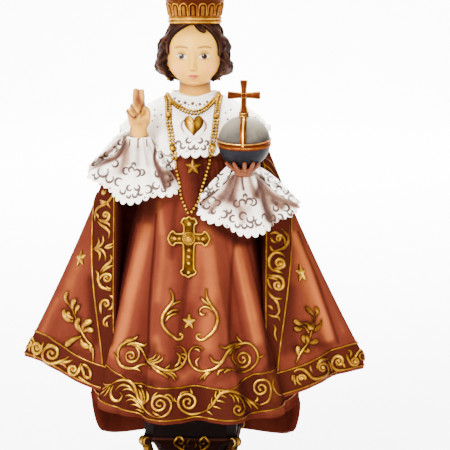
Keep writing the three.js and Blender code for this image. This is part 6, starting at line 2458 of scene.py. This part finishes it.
# Rings of the block: share of its size, share of the height, brightness
BLOCK_RINGS = [
    (0.985, 0.6, 0.9), (1.0, 0.61, 0.9), (1.0, 0.625, 0.6), (0.97, 0.635, 0.15), (0.97, 0.66, 0.2),
    (0.975, 0.8, 0.3), (0.97, 0.9, 0.2), (0.975, 0.915, 0.2), (1.03, 0.93, 0.6), (1.06, 0.945, 0.8),
    (1.06, 0.99, 0.5), (1.045, 1.0, 0.3),
]
# Strokes of the gilding on one half of the front: width, places to the side and up, and a curl
GILDING = [
    (1.5, [(-1.5, 24), (-3.5, 28), (-7.5, 31), (-9.5, 34.5), (-7.6, 37.6)], (-6.4, 35.2), -0.9),
    (1.2, [(-2.5, 26), (-6.5, 27), (-9.5, 25.5)]),
    (1.2, [(-1.4, 31), (-2.4, 34), (-1.2, 37)]),
    (1.3, [(-0.8, 24), (-3.8, 21.5), (-7.5, 21.2)]),
    (1.1, [(-4.5, 29.2), (-4.6, 31.6), (-3.4, 33)]),
]


def chamfered(half_sides, z):
    """A ring of a rectangle with cut corners."""
    short = 1 - CORNER_CUT
    corners = [(1, -short), (1, short), (short, 1), (-short, 1)]
    corners += [(-x, -y) for x, y in corners]
    points = []
    for k, (start, end) in enumerate(zip(corners, corners[1:] + corners[:1])):
        shares = np.linspace(0, 1, SIDE_POINTS if k % 2 == 0 else CORNER_POINTS, endpoint=False)[:, None]
        points.append(mix(vector(*start), vector(*end), shares) * half_sides)
    x, y = np.vstack(points).T
    return stack(x, y, z)


def pedestal_body():
    """The rings of the plinth, the waist and the block, and how bright each is."""
    rings = [chamfered(PLINTH - 0.5, 0), chamfered(PLINTH, 0.5), chamfered(PLINTH, PLINTH_THICK - 0.5),
             chamfered(PLINTH - 0.5, PLINTH_THICK)]
    wash = [0.2, 0.5, 0.5, 0.8]
    levels = [(mix(BLOCK, PLINTH - 1.6, out), up, bright) for out, up, bright in FOOT_RINGS]
    levels += [(BLOCK * size, up, 0.25 + 0.25 * bell(up, 0.53, 0.08)) for size, up in spline(WAIST, 24)]
    levels += [(BLOCK * size, up, bright) for size, up, bright in BLOCK_RINGS]
    for half_sides, up, bright in levels:
        rings.append(chamfered(half_sides, PLINTH_THICK + up * BLOCK_HIGH))
        wash.append(bright)
    return rings, np.repeat(np.array(wash)[:, None], len(rings[0]), axis=1)


def leg(piece, gold, turn):
    """A scrolled leg on a corner: its stem, a scroll at both ends, and leaves on its top."""
    along = vector(math.cos(turn), math.sin(turn), 0)
    across = vector(-math.sin(turn), math.cos(turn), 0)
    top, top_z = math.hypot(*BLOCK) - 0.5, PLINTH_THICK + 0.58 * BLOCK_HIGH
    foot, foot_z = math.hypot(*PLINTH) * 0.82, PLINTH_THICK + 0.13 * BLOCK_HIGH

    def at(reach, z):
        return along * reach + [0, 0, z]

    stem = spline([at(top - 2.2, top_z + 1.0), at(top - 4.5, top_z - 6), at(top - 10, top_z - 13),
                   at(top - 8.5, top_z - 19), at(foot - 6, foot_z + 3.4), at(foot - 1.5, foot_z + 2.6)], 40)
    out = np.cross(across, unit(np.gradient(stem, axis=0)))
    out = np.where((out @ along)[:, None] < 0, -out, out)
    piece.raised(stem, out, 6.0, 1.8, sides=12, shine=0.6)
    for shift in (-2.3, 2.3):
        gold.raised(stem + across * shift, out, 1.3, 2.4, sides=12, shine=0.6)
    angle = np.linspace(-0.4 * math.pi, 2.3 * math.pi, 60)
    for reach, z, radius, eye in ((top - 1.0, top_z + 0.6, 2.5, 2.3), (foot - 0.6, foot_z, 4.2, 2.2)):
        centre, size = at(reach, z), np.linspace(1, 0.3, 60) * radius
        spiral = centre + np.outer(np.cos(angle) * size, along) + np.outer(np.sin(angle) * size, [0, 0, 1])
        for side in (-1, 1):
            gold.raised(spiral + across * side * 1.2, across * side, 1.3, 1.7, np.linspace(1, 0.7, 60))
        core = [centre - across * 2.2, centre, centre + across * 2.2]
        piece.add(limb(core, lambda s: radius * 0.82, 28, 6), crest=0.5)
        gold.add(ball(centre + along * radius * 0.35, eye, 24, 16), crest=0.8)
    for spread in (-1.7, -0.6, 0.6, 1.7):
        leaf = spline([at(top - 3.2, top_z - 2.0) + across * spread * 0.5,
                       at(top - 5.0, top_z - 6.5) + across * spread * 1.3,
                       at(top - 9.5, top_z - 12) + across * spread * 1.6], 18)
        gold.raised(leaf + along * 1.4, along, 1.7, 1.2, tapered(18, LEAF_TAPER))


def gilding(gold, ground, face):
    """Scrolls and a bud on the front or back of the block."""
    def hit(x, z):
        return ground.hit((x, 60 * face, z), (0, -face, 0))

    for side in (-1, 1):
        for width, points, *curl in GILDING:
            places = spline(with_curl(points, *curl) if curl else points, 44 if curl else 14)
            traced = on_surface(np.array([hit(1 + side * x, z) for x, z in places]))
            gold.raised(*traced, width, 1.0, tapered(len(places), STEM_TAPER if curl else LEAF_TAPER))
    gold.add(ball(hit(1, 25.5)[0], (1.6, 1.1, 2.2), 16, 12), crest=0.9)


def pedestal():
    rings, wash = pedestal_body()
    piece = Casting("pedestal", "pedestal", "dark_bronze_paint", BRONZE, PEDESTAL_SPACE, smooth_faces=False)
    piece.add(skin(rings), crest=wash)
    gold = Casting("pedestal_gilding", "pedestal", "gold_paint", DARK_GOLD, PEDESTAL_SPACE)
    diagonal = math.atan2(BLOCK[1], BLOCK[0])
    for turn in (diagonal, math.pi - diagonal, math.pi + diagonal, -diagonal):
        leg(piece, gold, turn)
    ground = Ground(skin(rings))
    for face in (-1, 1):
        gilding(gold, ground, face)
    piece.build()
    gold.build()


crown()
orb_globe()
orb_bands()
pedestal()


# Floor, lights and camera

SENSOR = 36.0


def studio():
    camera = bpy.data.objects.new("camera", bpy.data.cameras.new("camera"))
    bpy.context.scene.collection.objects.link(camera)
    camera.data.sensor_width = SENSOR
    camera.data.lens = SENSOR * PHOTO_FOCAL / PHOTO_SIDE
    camera.location = camera_place
    camera.rotation_euler = Vector(camera_back).to_track_quat("Z", "Y").to_euler()
    bpy.context.scene.camera = camera

    mesh = bpy.data.meshes.new("floor")
    side, rise, bend = 3.0, 3.0, 0.5
    profile = [(-side, 0.0), (side - bend, 0.0)]
    for angle in np.linspace(0.1, math.pi / 2, 16):
        profile.append((side - bend + bend * math.sin(angle), bend - bend * math.cos(angle)))
    profile.append((side, rise))
    points = [(x, y, z) for y, z in profile for x in (-side, side)]
    faces = [(2 * k, 2 * k + 1, 2 * k + 3, 2 * k + 2) for k in range(len(profile) - 1)]
    mesh.from_pydata(points, [], faces)
    mesh.polygons.foreach_set("use_smooth", [True] * len(faces))
    floor = bpy.data.objects.new("floor", mesh)
    bpy.context.scene.collection.objects.link(floor)
    backdrop = Paint("pale floor")
    grain = backdrop.noise(8.0, 2.0, 0.5)
    floor.data.materials.append(backdrop.finish(
        Base_Color=backdrop.blend(grain, (0.9, 0.9, 0.9), (0.93, 0.93, 0.93)), Roughness=0.9))

    def lamp(name, place, size, power, target=(0, 0, 0.17)):
        light = bpy.data.lights.new(name, "AREA")
        light.shape, light.size, light.energy = "SQUARE", size, power
        obj = bpy.data.objects.new(name, light)
        obj.location = place
        obj.rotation_euler = (Vector(place) - Vector(target)).to_track_quat("Z", "Y").to_euler()
        bpy.context.scene.collection.objects.link(obj)

    lamp("key", (-0.55, -1.15, 0.85), 0.45, 62)
    lamp("fill", (0.95, -1.0, 0.5), 0.9, 12)
    lamp("top", (0.0, 0.1, 1.5), 1.0, 12)
    lamp("backdrop", (0.0, 1.7, 1.7), 2.0, 600, (0, 1.5, 0))
    world = bpy.data.worlds.new("studio")
    world.use_nodes = True
    world.node_tree.nodes["Background"].inputs[0].default_value = (1.0, 1.0, 1.0, 1.0)
    world.node_tree.nodes["Background"].inputs[1].default_value = 0.6
    bpy.context.scene.world = world


studio()
